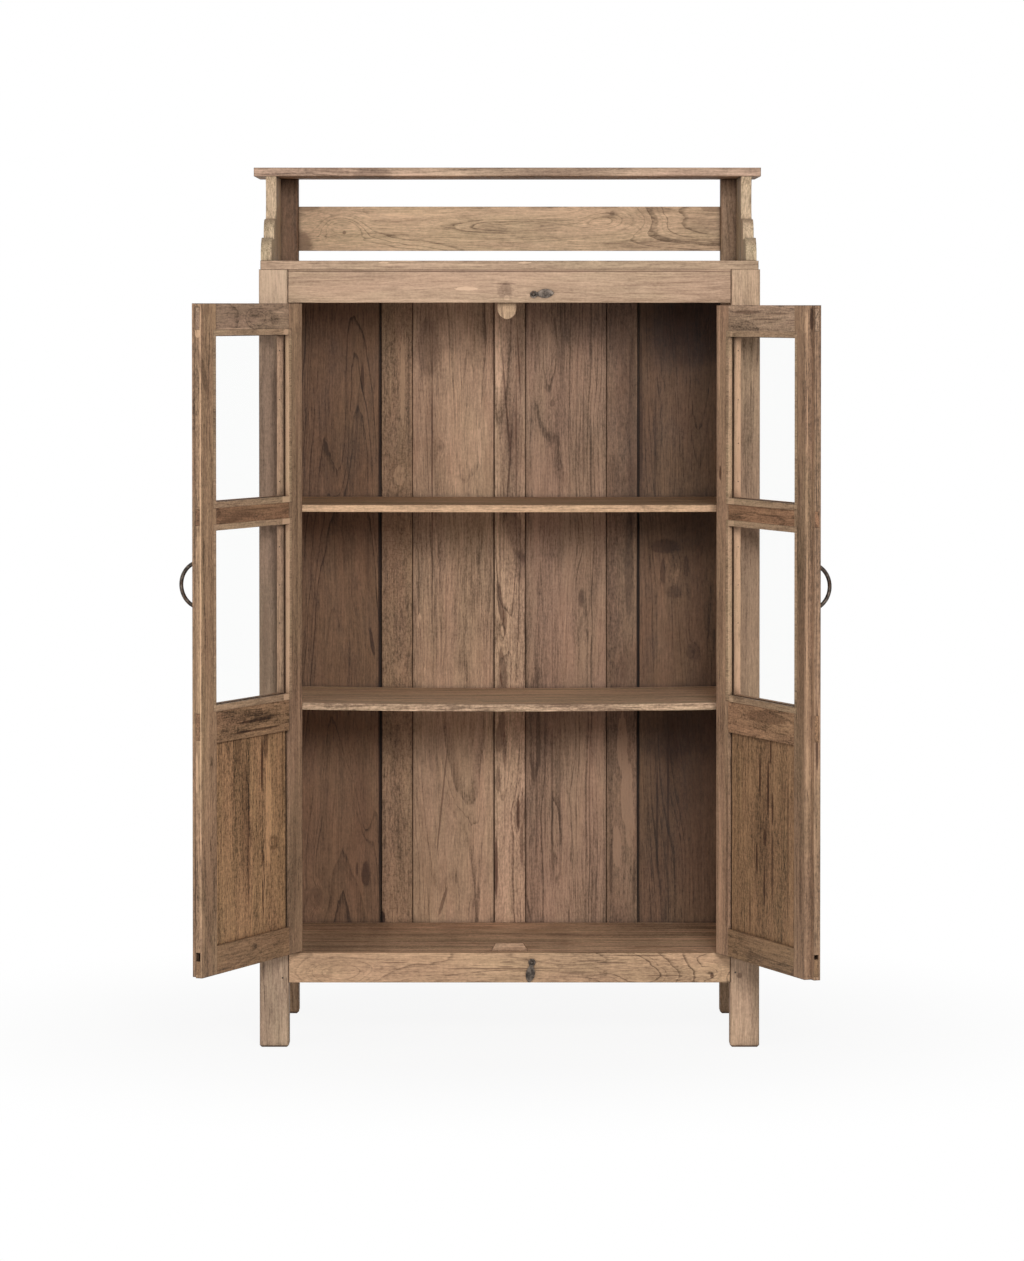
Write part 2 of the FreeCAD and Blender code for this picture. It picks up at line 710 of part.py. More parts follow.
def make_gallery():
    """Board between the rear posts, two scalloped brackets and the shelf that they carry."""
    z = deck_z + s.gallery_board_lift
    board, tool = rail("", -inner_x, board_y, z, inner_width, s.gallery_board_thickness,
                       s.gallery_board_height, "x", s.tenon_shoulder)
    keep("gallery_back_board", board)
    shelf_front = back_y + s.gallery_shelf_overhang - s.gallery_shelf_depth
    toe = front_y + s.bracket_toe_setback
    head = shelf_front + s.bracket_head_setback
    path = []
    for point in BRACKET_SHARES:
        path.append((toe + (head - toe) * point[0], deck_z + s.gallery_height * point[1])
                    + point[2:])
    path += [(inner_back_y, gallery_z), (inner_back_y, deck_z)]
    for side, x in (("left", -half_width + s.left_bracket_inset),
                    ("right", half_width - s.right_bracket_inset - s.bracket_thickness)):
        bracket = profile(path, s.bracket_thickness)
        keep(f"{side}_gallery_bracket", place(bracket, x, ZERO, ZERO))
    edge = rounded_rectangle(shelf_front, gallery_z, s.gallery_shelf_depth,
                             s.gallery_shelf_thickness, s.shelf_rounding)
    shelf = profile(edge, s.gallery_shelf_width)
    shelf_x = s.gallery_shelf_offset - s.gallery_shelf_width / 2
    keep("gallery_shelf", place(shelf, shelf_x, ZERO, ZERO))
    return tool


# Door stops

def make_stops():
    """A tongue behind the top rail and a block on the bottom board, for both doors to shut on."""
    half = s.upper_stop_width / 2
    path = [(-half, s.upper_stop_rise)]
    for point in STOP_SHARES:
        path.append((s.upper_stop_width * point[0], s.upper_stop_drop * point[1]) + point[2:])
    path.append((half, s.upper_stop_rise))
    tongue = elevation(path, s.stop_thickness)
    keep("upper_door_stop", place(tongue, s.upper_stop_offset, stop_y, head_z))
    foot = s.lower_stop_width / 2
    top = s.lower_stop_top_width / 2
    height = s.lower_stop_height
    block = elevation(((-foot, ZERO), (foot, ZERO), (top, height), (-top, height)),
                      s.stop_thickness)
    keep("lower_door_stop", place(block, ZERO, stop_y, floor_z))


# Turn latches

def along_y(obj):
    """Turns a cylinder or cone so that it runs back along Y."""
    obj.Placement.Rotation = FreeCAD.Rotation(FreeCAD.Vector(1, 0, 0), -90)
    return obj


def latch(label, spot, tilt):
    """A forged leaf with a round head, which turns on one screw. It is drawn pointing right."""
    neck_x = s.latch_head_radius * LATCH_NECK_SHARES[0]
    neck_z = s.latch_head_radius * LATCH_NECK_SHARES[1]
    path = [(neck_x, neck_z), (-s.latch_head_radius, ZERO, "via"), (neck_x, -neck_z)]
    for point in LATCH_LEAF_SHARES:
        path.append((s.latch_length * point[0], s.latch_width * point[1]) + point[2:])
    leaf = elevation(path, s.latch_thickness)
    boss_length = s.latch_standoff + s.rail_setback - s.latch_end_play
    boss = along_y(doc.addObject("Part::Cylinder", "boss"))
    bind(boss, "Radius", s.latch_boss_radius)
    bind(boss, "Height", boss_length)
    place(boss, ZERO, s.latch_thickness, ZERO)
    bore = along_y(doc.addObject("Part::Cylinder", "bore"))
    bind(bore, "Radius", s.latch_screw_radius + s.latch_play)
    bind(bore, "Height", s.latch_thickness + boss_length + s.overrun * 2)
    place(bore, ZERO, -s.overrun, ZERO)
    piece = cut(fused([leaf, boss]), [bore])
    piece.Placement.Rotation = FreeCAD.Rotation(FreeCAD.Vector(0, 1, 0), tilt.number)
    place(piece, spot[0], front_y - s.latch_standoff - s.latch_thickness, spot[1])
    keep(label, piece)


def latch_screw(spot):
    """Shank and round head of the screw in front of a latch."""
    head_y = front_y - s.latch_standoff - s.latch_thickness - s.latch_end_play
    shank = along_y(doc.addObject("Part::Cylinder", "shank"))
    bind(shank, "Radius", s.latch_screw_radius)
    bind(shank, "Height", front_y - head_y + s.latch_screw_depth)
    place(shank, spot[0], head_y, spot[1])
    head = along_y(doc.addObject("Part::Cone", "head"))
    bind(head, "Radius1", s.latch_screw_head_radius / 2)
    bind(head, "Radius2", s.latch_screw_head_radius)
    bind(head, "Height", s.latch_screw_head_height)
    place(head, spot[0], head_y - s.latch_screw_head_height, spot[1])
    return fused([shank, head])


def make_latches():
    latch("upper_latch", upper_latch_place, s.upper_latch_tilt)
    latch("lower_latch", lower_latch_place, s.lower_latch_tilt)
    screws = [latch_screw(upper_latch_place), latch_screw(lower_latch_place)]
    keep("latch_screws", compound(screws))


# Hinges

def hinge_leaf(hand, level, on_door):
    """One leaf with its knuckles. The pin stands at the origin, the leaf on one side of it."""
    face = s.hinge_forward + (s.door_recess if on_door else ZERO)
    start = s.door_side_gap / 2
    away = 1 if on_door else -1
    x = start if away * hand > 0 else -start - s.leaf_thickness
    plate = box(x, ZERO, level, s.leaf_thickness, face + s.leaf_width, s.hinge_length)
    third = s.hinge_length / 3
    middle = (level + third + s.knuckle_clearance, third - s.knuckle_clearance * 2)
    lower = (level, third)
    upper = (level + third * 2, third)
    own = [middle] if on_door else [lower, upper]
    other = [(level - s.overrun, third + s.overrun + s.knuckle_clearance),
             (level + third * 2 - s.knuckle_clearance, third + s.overrun + s.knuckle_clearance)]
    if not on_door:
        other = [(level + third, third)]
    knuckles = [upright(ZERO, ZERO, z, s.barrel_radius, height) for z, height in own]
    clear = [upright(ZERO, ZERO, z, s.barrel_radius + s.knuckle_clearance, height)
             for z, height in other]
    bore_radius = s.pin_radius + s.pin_clearance
    bore = upright(ZERO, ZERO, level - s.overrun, bore_radius, s.hinge_length + s.overrun * 2)
    return cut(fused([cut(plate, clear)] + knuckles), [bore])


def make_case_hinges():
    """Fixed leaves in the posts, with the pins that they hold."""
    sides = []
    for hand in (1, -1):
        parts = []
        for level in hinge_levels():
            parts.append(hinge_leaf(hand, level, on_door=False))
            parts.append(upright(ZERO, ZERO, level - s.pin_overrun, s.pin_radius,
                                 s.hinge_length + s.pin_overrun * 2))
        sides.append(place(compound(parts), pin_x(hand), pin_y, lift(hand)))
    keep("case_hinge_leaves", compound(sides))


# Doors. Each is drawn shut, with its hinge pin at the origin, and then swung open.
# A point is given by its distance from the pin along the door, and by hand: 1 left, -1 right.

door_face = s.hinge_forward + s.door_recess
door_back = door_face + s.door_thickness
door_z = floor_z + s.door_bottom_gap
door_height = s.door_opening_height - s.door_bottom_gap - s.door_top_gap
edge_u = s.door_side_gap / 2
long_u = inner_x - edge_u + s.meeting_lap / 2 - s.meeting_gap / 2
short_u = inner_x - edge_u - s.meeting_lap / 2 - s.meeting_gap / 2
opening_u = edge_u + s.hinge_stile_width
opening_end_u = long_u - s.meeting_stile_width
opening_width = opening_end_u - opening_u
rebate_width = s.lip_width + s.bead_width
rebate_depth = s.bead_thickness + s.pane_thickness + s.pane_play * 2
panel_v = door_back - s.panel_recess - s.panel_thickness

# Levels of the rails and openings of a door.
panel_z = door_z + s.door_bottom_rail_height
lock_z = panel_z + s.panel_opening_height
lower_light_z = lock_z + s.lock_rail_height
middle_z = lower_light_z + s.lower_light_height
upper_light_z = middle_z + s.middle_rail_height
door_top_z = door_z + door_height
top_rail_z = door_top_z - s.door_top_rail_height
LIGHTS = (
    ("upper", upper_light_z, top_rail_z - upper_light_z),
    ("lower", lower_light_z, s.lower_light_height),
)


def door_box(hand, u, v, z, du, dv, dz):
    """A box of a door. On the right door the distance from the pin runs the other way."""
    return box(u if hand > 0 else -u - du, v, z, du, dv, dz)


def swing(hand, obj):
    """Swings a finished piece of a door open about its pin."""
    angle = s.left_open_angle if hand > 0 else s.right_open_angle
    axis = FreeCAD.Vector(0, 0, -hand)
    obj.Placement.Rotation = FreeCAD.Rotation(axis, angle.number)
    return place(obj, pin_x(hand), pin_y, lift(hand))


def lap_cut(hand):
    """Cuts back the outer part of the left door's edge, or the inner part of the right door's."""
    if hand > 0:
        v, dv = door_face - s.overrun, s.overrun + s.lap_depth
    else:
        v, dv = door_face + s.lap_depth - s.meeting_gap / 2, s.door_thickness
    return door_box(hand, short_u, v, door_z - s.overrun, s.meeting_lap + s.overrun, dv,
                    door_height + s.overrun * 2)


def light_rebates(hand):
    """Rebates for the panes, cut from the inner face of the frame."""
    cuts = []
    for _, z, height in LIGHTS:
        cuts.append(door_box(hand, opening_u - rebate_width, door_back - rebate_depth,
                             z - rebate_width, opening_width + rebate_width * 2,
                             rebate_depth + s.overrun, height + rebate_width * 2))
    return cuts


def door_panel_groove(hand):
    play = s.joint_clearance
    return door_box(hand, opening_u - s.groove_depth, panel_v - play, panel_z - s.groove_depth,
                    opening_width + s.groove_depth * 2, s.panel_thickness + play * 2,
                    s.panel_opening_height + s.groove_depth * 2)


def mortise_slack(hand):
    return s.left_mortise_slack if hand > 0 else s.right_mortise_slack


def door_rails(hand):
    """Name, level and height of each rail, and the shoulders below and above its tenon."""
    glazed = rebate_width + s.joint_clearance * 2
    grooved = s.groove_depth + s.joint_clearance * 2
    end = s.outer_shoulder
    return (
        ("bottom", door_z, s.door_bottom_rail_height, end, end + mortise_slack(hand)),
        ("lock", lock_z, s.lock_rail_height, grooved, glazed),
        ("middle", middle_z, s.middle_rail_height, glazed, glazed),
        ("top", top_rail_z, s.door_top_rail_height, glazed, end),
    )


def tenon_bar(hand, z, height, below, above):
    """The tenons of a rail as one bar: blind in the hinge stile, through the meeting stile."""
    start = opening_u - s.hinge_tenon_length
    tenon_v = door_face + (s.left_tenon_depth if hand > 0 else s.right_tenon_depth)
    return (hand, start, tenon_v, z + below, long_u - start, s.tenon_thickness,
            height - below - above)


def make_door_frame(side, hand):
    """Two stiles and four rails, with rebates, grooves, mortises and tenons."""
    lap = lap_cut(hand)
    rebates = light_rebates(hand)
    groove = door_panel_groove(hand)
    mortises = []
    for name, z, height, below, above in door_rails(hand):
        body = door_box(hand, opening_u, door_face, z, opening_width, s.door_thickness, height)
        bar = tenon_bar(hand, z, height, below, above)
        solid = cut(fused([body, door_box(*bar)]), [lap, groove] + rebates)
        keep(f"{side}_door_{name}_rail", swing(hand, solid))
        slack = mortise_slack(hand) if name == "bottom" else ZERO
        play = s.joint_clearance
        mortises.append(door_box(hand, bar[1] - play, bar[2] - play, bar[3] - play,
                                 bar[4] + play + s.overrun, bar[5] + play * 2,
                                 bar[6] + slack + play * 2))
    stile = door_box(hand, edge_u, door_face, door_z, s.hinge_stile_width, s.door_thickness,
                     door_height)
    hinged = cut(stile, mortises + rebates + [groove] + hinge_gains(hand, into_door=True))
    keep(f"{side}_door_hinge_stile", swing(hand, hinged))
    stile = door_box(hand, opening_end_u, door_face, door_z, s.meeting_stile_width,
                     s.door_thickness, door_height)
    meeting = cut(stile, mortises + rebates + [groove, lap])
    keep(f"{side}_door_meeting_stile", swing(hand, meeting))


def make_panes(side, hand):
    gap = rebate_width - s.pane_edge_gap
    v = door_back - rebate_depth + s.pane_play
    for name, z, height in LIGHTS:
        pane = door_box(hand, opening_u - gap, v, z - gap, opening_width + gap * 2,
                        s.pane_thickness, height + gap * 2)
        keep(f"{side}_door_{name}_pane", swing(hand, compound([pane])))


def make_beads(side, hand):
    """Four mitred strips round each pane, flush with the inner face of the frame."""
    beads = []
    for _, z, height in LIGHTS:
        outer = rebate_width
        inner = s.lip_width
        ring = []
        for reach in (outer, inner):
            u0, u1 = opening_u - reach, opening_end_u + reach
            z0, z1 = z - reach, z + height + reach
            if hand < 0:
                u0, u1 = -u1, -u0
            ring.append(((u0, z0), (u1, z0), (u1, z1), (u0, z1)))
        for i in range(4):
            j = (i + 1) % 4
            bead = elevation((ring[0][i], ring[0][j], ring[1][j], ring[1][i]), s.bead_thickness)
            beads.append(place(bead, ZERO, door_back - s.bead_thickness, ZERO))
    keep(f"{side}_door_glazing_beads", swing(hand, compound(beads)))


def make_panel(side, hand):
    """Two boards. They fill the groove on the meeting side and have shrunk away at the hinges."""
    play = s.joint_clearance * 2
    start = opening_u + s.panel_shrinkage
    total = opening_end_u + s.groove_depth - play - start
    joint = total * PANEL_JOINT_SHARES[side]
    z = panel_z - s.groove_depth + play
    height = s.panel_opening_height + s.groove_depth * 2 - play * 2
    first = door_box(hand, start, panel_v, z, joint - s.panel_joint_gap, s.panel_thickness, height)
    second = door_box(hand, start + joint, panel_v, z, total - joint, s.panel_thickness, height)
    keep(f"{side}_door_panel", swing(hand, compound([first, second])))


def make_handle(side, hand):
    """A forged bow on two leaf-shaped feet, all in one piece, on the outer face."""
    middle_u = long_u - s.handle_edge_distance
    u = middle_u if hand > 0 else -middle_u
    half = s.handle_span / 2
    rise = s.handle_reach - s.handle_rod_radius
    radius = (half * half + rise * rise) / (rise * 2)
    bow = doc.addObject("Part::Torus", "bow")
    bow.Placement.Rotation = FreeCAD.Rotation(FreeCAD.Vector(0, 1, 0), 90)
    bind(bow, "Radius1", radius)
    bind(bow, "Radius2", s.handle_rod_radius)
    place(bow, u, door_face - rise + radius, s.handle_height)
    parts = [bow]
    for sign in (-1, 1):
        leaf = doc.addObject("Part::Ellipsoid", "leaf")
        leaf.Placement.Rotation = FreeCAD.Rotation(FreeCAD.Vector(0, 1, 0), 90)
        bind(leaf, "Radius1", s.handle_leaf_width / 2)
        bind(leaf, "Radius2", s.handle_leaf_length / 2)
        bind(leaf, "Radius3", s.handle_leaf_height)
        place(leaf, u, door_face, s.handle_height + (half + s.handle_leaf_shift) * sign)
        parts.append(leaf)
    room = half + s.handle_leaf_shift + s.handle_leaf_length
    front = box(u - s.handle_leaf_width, door_face - s.handle_reach - s.overrun,
                s.handle_height - room, s.handle_leaf_width * 2,
                s.handle_reach + s.overrun, room * 2)
    keep(f"{side}_door_handle", swing(hand, common(fused(parts), front)))


def make_door(side, hand):
    make_door_frame(side, hand)
    make_panes(side, hand)
    make_beads(side, hand)
    make_panel(side, hand)
    make_handle(side, hand)
    leaves = [hinge_leaf(hand, level, on_door=True) for level in hinge_levels()]
    keep(f"{side}_door_hinge_leaves", swing(hand, compound(leaves)))


# Build

mortise_tools = make_rails()
mortise_tools["rear"].append(make_gallery())
make_posts(mortise_tools)
make_side_panels()
make_back()
make_bottom_board()
make_shelves()
make_case_top()
make_stops()
make_latches()
make_case_hinges()
make_door("left", 1)
make_door("right", -1)
doc.recompute()

for obj in doc.Objects:
    if "Invalid" in obj.State or "Error" in obj.State:
        raise RuntimeError(f"{obj.Name} ({obj.Label}) did not compute: {obj.State}")
os.makedirs("parts", exist_ok=True)
for label, obj in pieces.items():
    shape = obj.Shape
    if shape.isNull() or not shape.isValid() or not shape.Solids:
        raise RuntimeError(f"{label} has no valid solid")
    shape.exportStep(f"parts/{label}.step")
    box_size = shape.BoundBox
    print(f"{label}: {len(shape.Solids)} solids, {shape.Volume / 1000:.1f} cm3, "
          f"{box_size.XLength:.1f} x {box_size.YLength:.1f} x {box_size.ZLength:.1f} mm")
print(f"{len(pieces)} pieces")
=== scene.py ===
import json
import math
import random

import bmesh
import bpy
from mathutils import Euler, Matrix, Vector


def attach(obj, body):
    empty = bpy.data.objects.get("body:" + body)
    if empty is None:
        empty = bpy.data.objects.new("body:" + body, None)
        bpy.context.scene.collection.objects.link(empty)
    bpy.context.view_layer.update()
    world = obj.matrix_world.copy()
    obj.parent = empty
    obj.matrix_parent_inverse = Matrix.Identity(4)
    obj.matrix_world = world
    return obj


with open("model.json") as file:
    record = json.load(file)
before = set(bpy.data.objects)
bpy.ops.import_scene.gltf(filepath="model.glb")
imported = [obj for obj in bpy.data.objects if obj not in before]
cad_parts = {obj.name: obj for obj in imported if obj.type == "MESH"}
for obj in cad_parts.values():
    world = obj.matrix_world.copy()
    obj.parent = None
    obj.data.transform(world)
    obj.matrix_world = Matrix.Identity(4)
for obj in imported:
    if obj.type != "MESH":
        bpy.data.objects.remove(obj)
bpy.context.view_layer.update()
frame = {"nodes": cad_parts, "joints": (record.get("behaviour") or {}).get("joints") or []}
nodes = frame["nodes"]
joints = {joint["name"]: joint for joint in frame["joints"]}
scene = bpy.context.scene


# Shader nodes

class Value:
    """A socket that can be added, subtracted and multiplied: each step becomes a node."""

    def __init__(self, wires, socket):
        self.wires = wires
        self.socket = socket

    def step(self, operation, first, second):
        make = self.wires.math if self.socket.type == "VALUE" else self.wires.vector
        return make(operation, first, second)

    def __add__(self, other):
        return self.step("ADD", self, other)

    def __sub__(self, other):
        return self.step("SUBTRACT", self, other)

    def __rsub__(self, other):
        return self.step("SUBTRACT", other, self)

    def __mul__(self, other):
        return self.step("MULTIPLY", self, other)

    __radd__, __rmul__ = __add__, __mul__

    def __abs__(self):
        return self.wires.math("ABSOLUTE", self)

    def clamped(self):
        """Kept between 0 and 1."""
        self.socket.node.use_clamp = True
        return self


class Wires:
    """Short ways to add and join shader nodes in one tree."""

    def __init__(self, tree):
        self.tree = tree

    def add(self, kind, **settings):
        node = self.tree.nodes.new("ShaderNode" + kind)
        for name, value in settings.items():
            setattr(node, name, value)
        return node

    def out(self, node, name=0):
        return Value(self, node.outputs[name])

    def put(self, node, values):
        """Give inputs of a node, found by name or number, a value or a link."""
        for name, value in values.items():
            if isinstance(value, Value):
                self.tree.links.new(value.socket, node.inputs[name])
            else:
                node.inputs[name].default_value = value
        return node

    def math(self, operation, first, second=0.5):
        node = self.add("Math", operation=operation)
        return self.out(self.put(node, {0: first, 1: second}))

    def vector(self, operation, first, second=(0.0, 0.0, 0.0)):
        node = self.add("VectorMath", operation=operation)
        self.put(node, {0: first, 1: second})
        return self.out(node, "Value" if operation in ("DOT_PRODUCT", "LENGTH") else "Vector")

    def split(self, value):
        node = self.put(self.add("SeparateXYZ"), {0: value})
        return [self.out(node, i) for i in range(3)]

    def join(self, x, y, z):
        return self.out(self.put(self.add("CombineXYZ"), {0: x, 1: y, 2: z}))

    def noise(self, where, scale, detail, roughness, colour=False):
        node = self.put(self.add("TexNoise"), {"Vector": where, "Scale": scale, "Detail": detail,
                                               "Roughness": roughness})
        return self.out(node, "Color" if colour else "Fac")

    def line_noise(self, value, scale, detail, roughness):
        node = self.add("TexNoise", noise_dimensions="1D")
        self.put(node, {"W": value, "Scale": scale, "Detail": detail, "Roughness": roughness})
        return self.out(node, "Fac")

    def span(self, value, low, high, to_low=0.0, to_high=1.0, way="SMOOTHSTEP"):
        """A smooth step from low to high."""
        node = self.add("MapRange", interpolation_type=way)
        return self.out(self.put(node, {"Value": value, "From Min": low, "From Max": high,
                                        "To Min": to_low, "To Max": to_high}))

    def slope(self, value, low, high):
        """A straight step from low to high."""
        return self.span(value, low, high, way="LINEAR")

    def mix(self, share, first, second, blend="MIX"):
        node = self.add("Mix", data_type="RGBA", blend_type=blend)
        return self.out(self.put(node, {0: share, 6: first, 7: second}), 2)

    def blend_shaders(self, share, first, second):
        return self.out(self.put(self.add("MixShader"), {"Fac": share, 1: first, 2: second}))


def emptied(owner):
    """The wires of a material or world whose own nodes are taken out first."""
    owner.use_nodes = True
    owner.node_tree.nodes.clear()
    return Wires(owner.node_tree)


# Camera, light and floor

WHITE = (1.0, 1.0, 1.0, 1.0)
WARM_WHITE = (1.0, 0.985, 0.96)
CAMERA_PLACE = (0.0, -9.604, 1.374)
CAMERA_TILT = 1.4           # degrees down
CAMERA_LENS = 144.7         # millimetres
CAMERA_SENSOR = 36.0        # millimetres
CAMERA_SHIFT = (0.002, -0.160)
CAMERA_REACH = 200.0
SKY_STRENGTH = 0.28
FLOOR_REACH = 60.0
FLOOR_COLOUR = (0.86, 0.86, 0.86, 1.0)
# The floor turns plain white between two distances from the middle: both, and then the share of
# plain white at both.
FLOOR_FADE = (0.4, 1.4, 0.91, 1.0)
LAMP_TARGET = (0.0, 0.0, 0.8)


def add_camera():
    """A long lens, 9.35 m from the front of the cupboard, tipped a little down."""
    data = bpy.data.cameras.new("camera")
    data.lens = CAMERA_LENS
    data.sensor_width = CAMERA_SENSOR
    data.shift_x, data.shift_y = CAMERA_SHIFT
    data.clip_end = CAMERA_REACH
    camera = bpy.data.objects.new("camera", data)
    camera.location = CAMERA_PLACE
    camera.rotation_euler = (math.radians(90 - CAMERA_TILT), 0.0, 0.0)
    scene.collection.objects.link(camera)
    scene.camera = camera


def add_lamp(name, place, size, power, colour):
    """A round area light that points at the middle of the cupboard."""
    data = bpy.data.lights.new(name, "AREA")
    data.shape = "DISK"
    data.size = size
    data.energy = power
    data.color = colour
    lamp = bpy.data.objects.new(name, data)
    lamp.location = place
    lamp.rotation_euler = (Vector(LAMP_TARGET) - lamp.location).to_track_quat("-Z", "Y").to_euler()
    scene.collection.objects.link(lamp)


def seen_rays(w):
    """1 for camera, glossy and transmission rays, so that all of them see white."""
    path = w.add("LightPath")
    total = w.out(path, "Is Camera Ray")
    for name in ("Is Glossy Ray", "Is Transmission Ray"):
        total = w.math("MAXIMUM", total, w.out(path, name))
    return total


def add_world():
    world = bpy.data.worlds.new("studio")
    w = emptied(world)
    soft = w.put(w.add("Background"), {"Color": (*WARM_WHITE, 1.0), "Strength": SKY_STRENGTH})
    white = w.put(w.add("Background"), {"Color": WHITE})
    light = w.blend_shaders(seen_rays(w), w.out(soft), w.out(white))
    w.put(w.add("OutputWorld"), {"Surface": light})
    scene.world = world


def add_floor():
    """A pale floor that shows white, and keeps a light shadow."""
    mesh = bpy.data.meshes.new("floor")
    corners = ((-1, -1), (1, -1), (1, 1), (-1, 1))
    mesh.from_pydata([(x * FLOOR_REACH, y * FLOOR_REACH, 0) for x, y in corners],
                     [], [(0, 1, 2, 3)])
    floor = bpy.data.objects.new("floor", mesh)
    scene.collection.objects.link(floor)
    material = bpy.data.materials.new("floor")
    w = emptied(material)
    away = w.vector("LENGTH", w.out(w.add("NewGeometry"), "Position"))
    pale = w.put(w.add("BsdfDiffuse"), {"Color": FLOOR_COLOUR})
    white = w.put(w.add("Emission"), {"Color": WHITE})
    surface = w.blend_shaders(seen_rays(w) * w.span(away, *FLOOR_FADE), w.out(pale), w.out(white))
    w.put(w.add("OutputMaterial"), {"Surface": surface})
    mesh.materials.append(material)


scene.view_settings.view_transform = "Standard"
add_camera()
add_world()
add_floor()
add_lamp("key", (0.7, -6.2, 2.3), 1.5, 196.0, WARM_WHITE)
add_lamp("fill", (-3.2, -5.4, 2.0), 2.0, 62.0, WHITE[:3])


# Materials

def srgb(red, green, blue):
    """A linear colour from sRGB levels of 0 to 255."""
    def linear(level):
        level /= 255.0
        return level / 12.92 if level <= 0.04045 else ((level + 0.055) / 1.055) ** 2.4
    return (linear(red), linear(green), linear(blue), 1.0)


def shade(colour, factor, warmth=1.0):
    """A colour made lighter or darker; warmth turns it towards red and away from blue."""
    red, green, blue, _ = colour
    return (min(1.0, red * factor * warmth), min(1.0, green * factor),
            min(1.0, blue * factor / warmth), 1.0)


# Patterns in the wood: how often each repeats in a metre, along and across the grain, its
# detail and its roughness.
LAYERS = {
    "wander": (2.2, 8.0, 2.0, 0.5), "wobble": (5.0, 26.0, 3.0, 0.6),
    "fibre": (7.0, 300.0, 5.0, 0.72), "thread": (24.0, 430.0, 3.0, 0.6),
    "grit": (150.0, 380.0, 2.0, 0.6), "flake": (30.0, 170.0, 5.0, 0.75),
    "streak": (1.3, 62.0, 3.0, 0.6), "blotch": (2.8, 10.0, 4.0, 0.6),
    "grime": (8.0, 22.0, 6.0, 0.70), "speck": (70.0, 210.0, 4.0, 0.72),
    "ticks": (330.0, 70.0, 3.0, 0.6), "tone": (3.0, 16.0, 3.0, 0.6),
    "dry": (5.0, 26.0, 6.0, 0.72),
}
TONE_PLACE, DRY_PLACE = (9.1, 4.2, 0.7), (3.7, 1.3, 8.1)    # other parts of the same noise
PITH_WANDER = 0.030     # metres
RING_WOBBLE = 0.008     # metres
YEARS = (0.37, 2.0, 0.6)                # scale, detail and roughness of good and bad years
YEARS_SHARE = 3.4
FAINT_PLACE = (2.0, 0.9)                # along the board and over the rings
FAINT = (1.0, 2.0, 0.6)                 # where rings are faint: scale, detail and roughness
# How much each pattern lightens or darkens the wood.
WEIGHTS = {"fibre": 0.75, "grime": 0.55, "speck": 1.1, "ticks": 0.55, "line": 0.42, "eye": 0.42}
GRIT_AT_LEAST = 0.35
# Where each thing starts and where it is full, then what it is worth at both, if not 0 and 1.
STEPS = {
    "late wood": (0.62, 0.93), "ring end": (0.94, 1.0, 1.0, 0.0), "faint": (0.36, 0.66, 0.15, 1.0),
    "painted lit top": (-0.05, 0.05), "painted edge light": (0.6, 0.9), "tone": (0.35, 0.65), "stain": (0.56, 0.72),
    "pits": (0.82, 0.92), "cuts": (0.58, 0.66), "dry": (0.60, 0.74), "chips": (0.66, 0.73),
    "scraped": (0.55, 0.85), "scrape edge": (0.05, 0.3), "ends": (0.6, 0.9),
    "shoulder": (-0.0016, -0.0004), "not an end": (0.3, 0.6, 1.0, 0.0), "arris": (0.015, 0.16),
    "open": (0.62, 0.92), "worn": (0.42, 0.60), "corner": (0.20, 0.85, 0.80, 0.0),
}
# How much a second pattern breaks up the outline of each.
BREAK_UP = {"stain": 0.8, "pits": 0.35, "cuts": 0.3, "dry": 0.35, "scraped": 1.8, "worn": 0.5}
# How strong each kind of dirt and painted shade is, and the colour that it multiplies the wood by.
# "corner" is painted shade, found by ambient occlusion in corners and between parts.
TINTS = {
    # The first tint darkens real dark marks and painted shade alike.
    "mark_and_painted_shade": (1.0, (0.24, 0.18, 0.16)), "stain": (0.62, (0.38, 0.30, 0.27)),
    "pits": (0.6, (0.30, 0.24, 0.20)), "cuts": (0.6, (0.36, 0.31, 0.28)),
    "ends": (0.40, (0.55, 0.47, 0.42)), "seam": (0.55, (0.20, 0.16, 0.13)),
    "arris": (0.6, (0.30, 0.25, 0.22)), "corner": (1.0, (0.13, 0.09, 0.07)),
    "pinker": (1.0, (1.02, 0.99, 1.0)), "greener": (1.0, (0.985, 1.005, 0.975)),
}
# Dark marks, painted shade among them, go this deep.
MARK_AND_SHADE_DEPTH = -1.5
# How far each kind of wear turns the wood to its worn colour.
RUBS = {"dry": 0.55, "pale": 0.7, "rubbed": 0.8}
# How far each pattern lifts the surface, as a share of the bump's distance.
RELIEF = {"fibre": 0.9, "line": -0.12, "grime": 0.8, "speck": 1.6, "pits": -0.35, "seam": -0.6}
ROUGH_SHARE, RUBBED_SHEEN = 0.35, -0.10
ARRIS_RADIUS = 0.0026
# How far the ambient occlusion reaches that paints shade into corners and keeps rubbed arrises out
# of them.
CORNER_SHADE_REACH = 0.018
RAY_SAMPLES = 4
# Some inputs paint light: a paler top end, faces towards the front and back made lighter or darker,
# and marks that hold painted shade and highlights.
GROUP_INPUTS = {
    "Vector": ("Local", "Facing", "Offset", "Push"),
    "Color": ("Light", "Middle", "Dark", "Worn"),
    "Float": ("Eye", "Taper", "Rings", "Shoulder_Middle", "Shoulder_Half", "Figure", "Blotch",
              "Streak", "Weather", "Stain", "Dry", "Wear", "Painted_Lit_Top", "Painted_Lit_Top_At", "Edge", "Chips",
              "Saw", "Mark_And_Painted_Light", "Scrape", "Rough"),
}


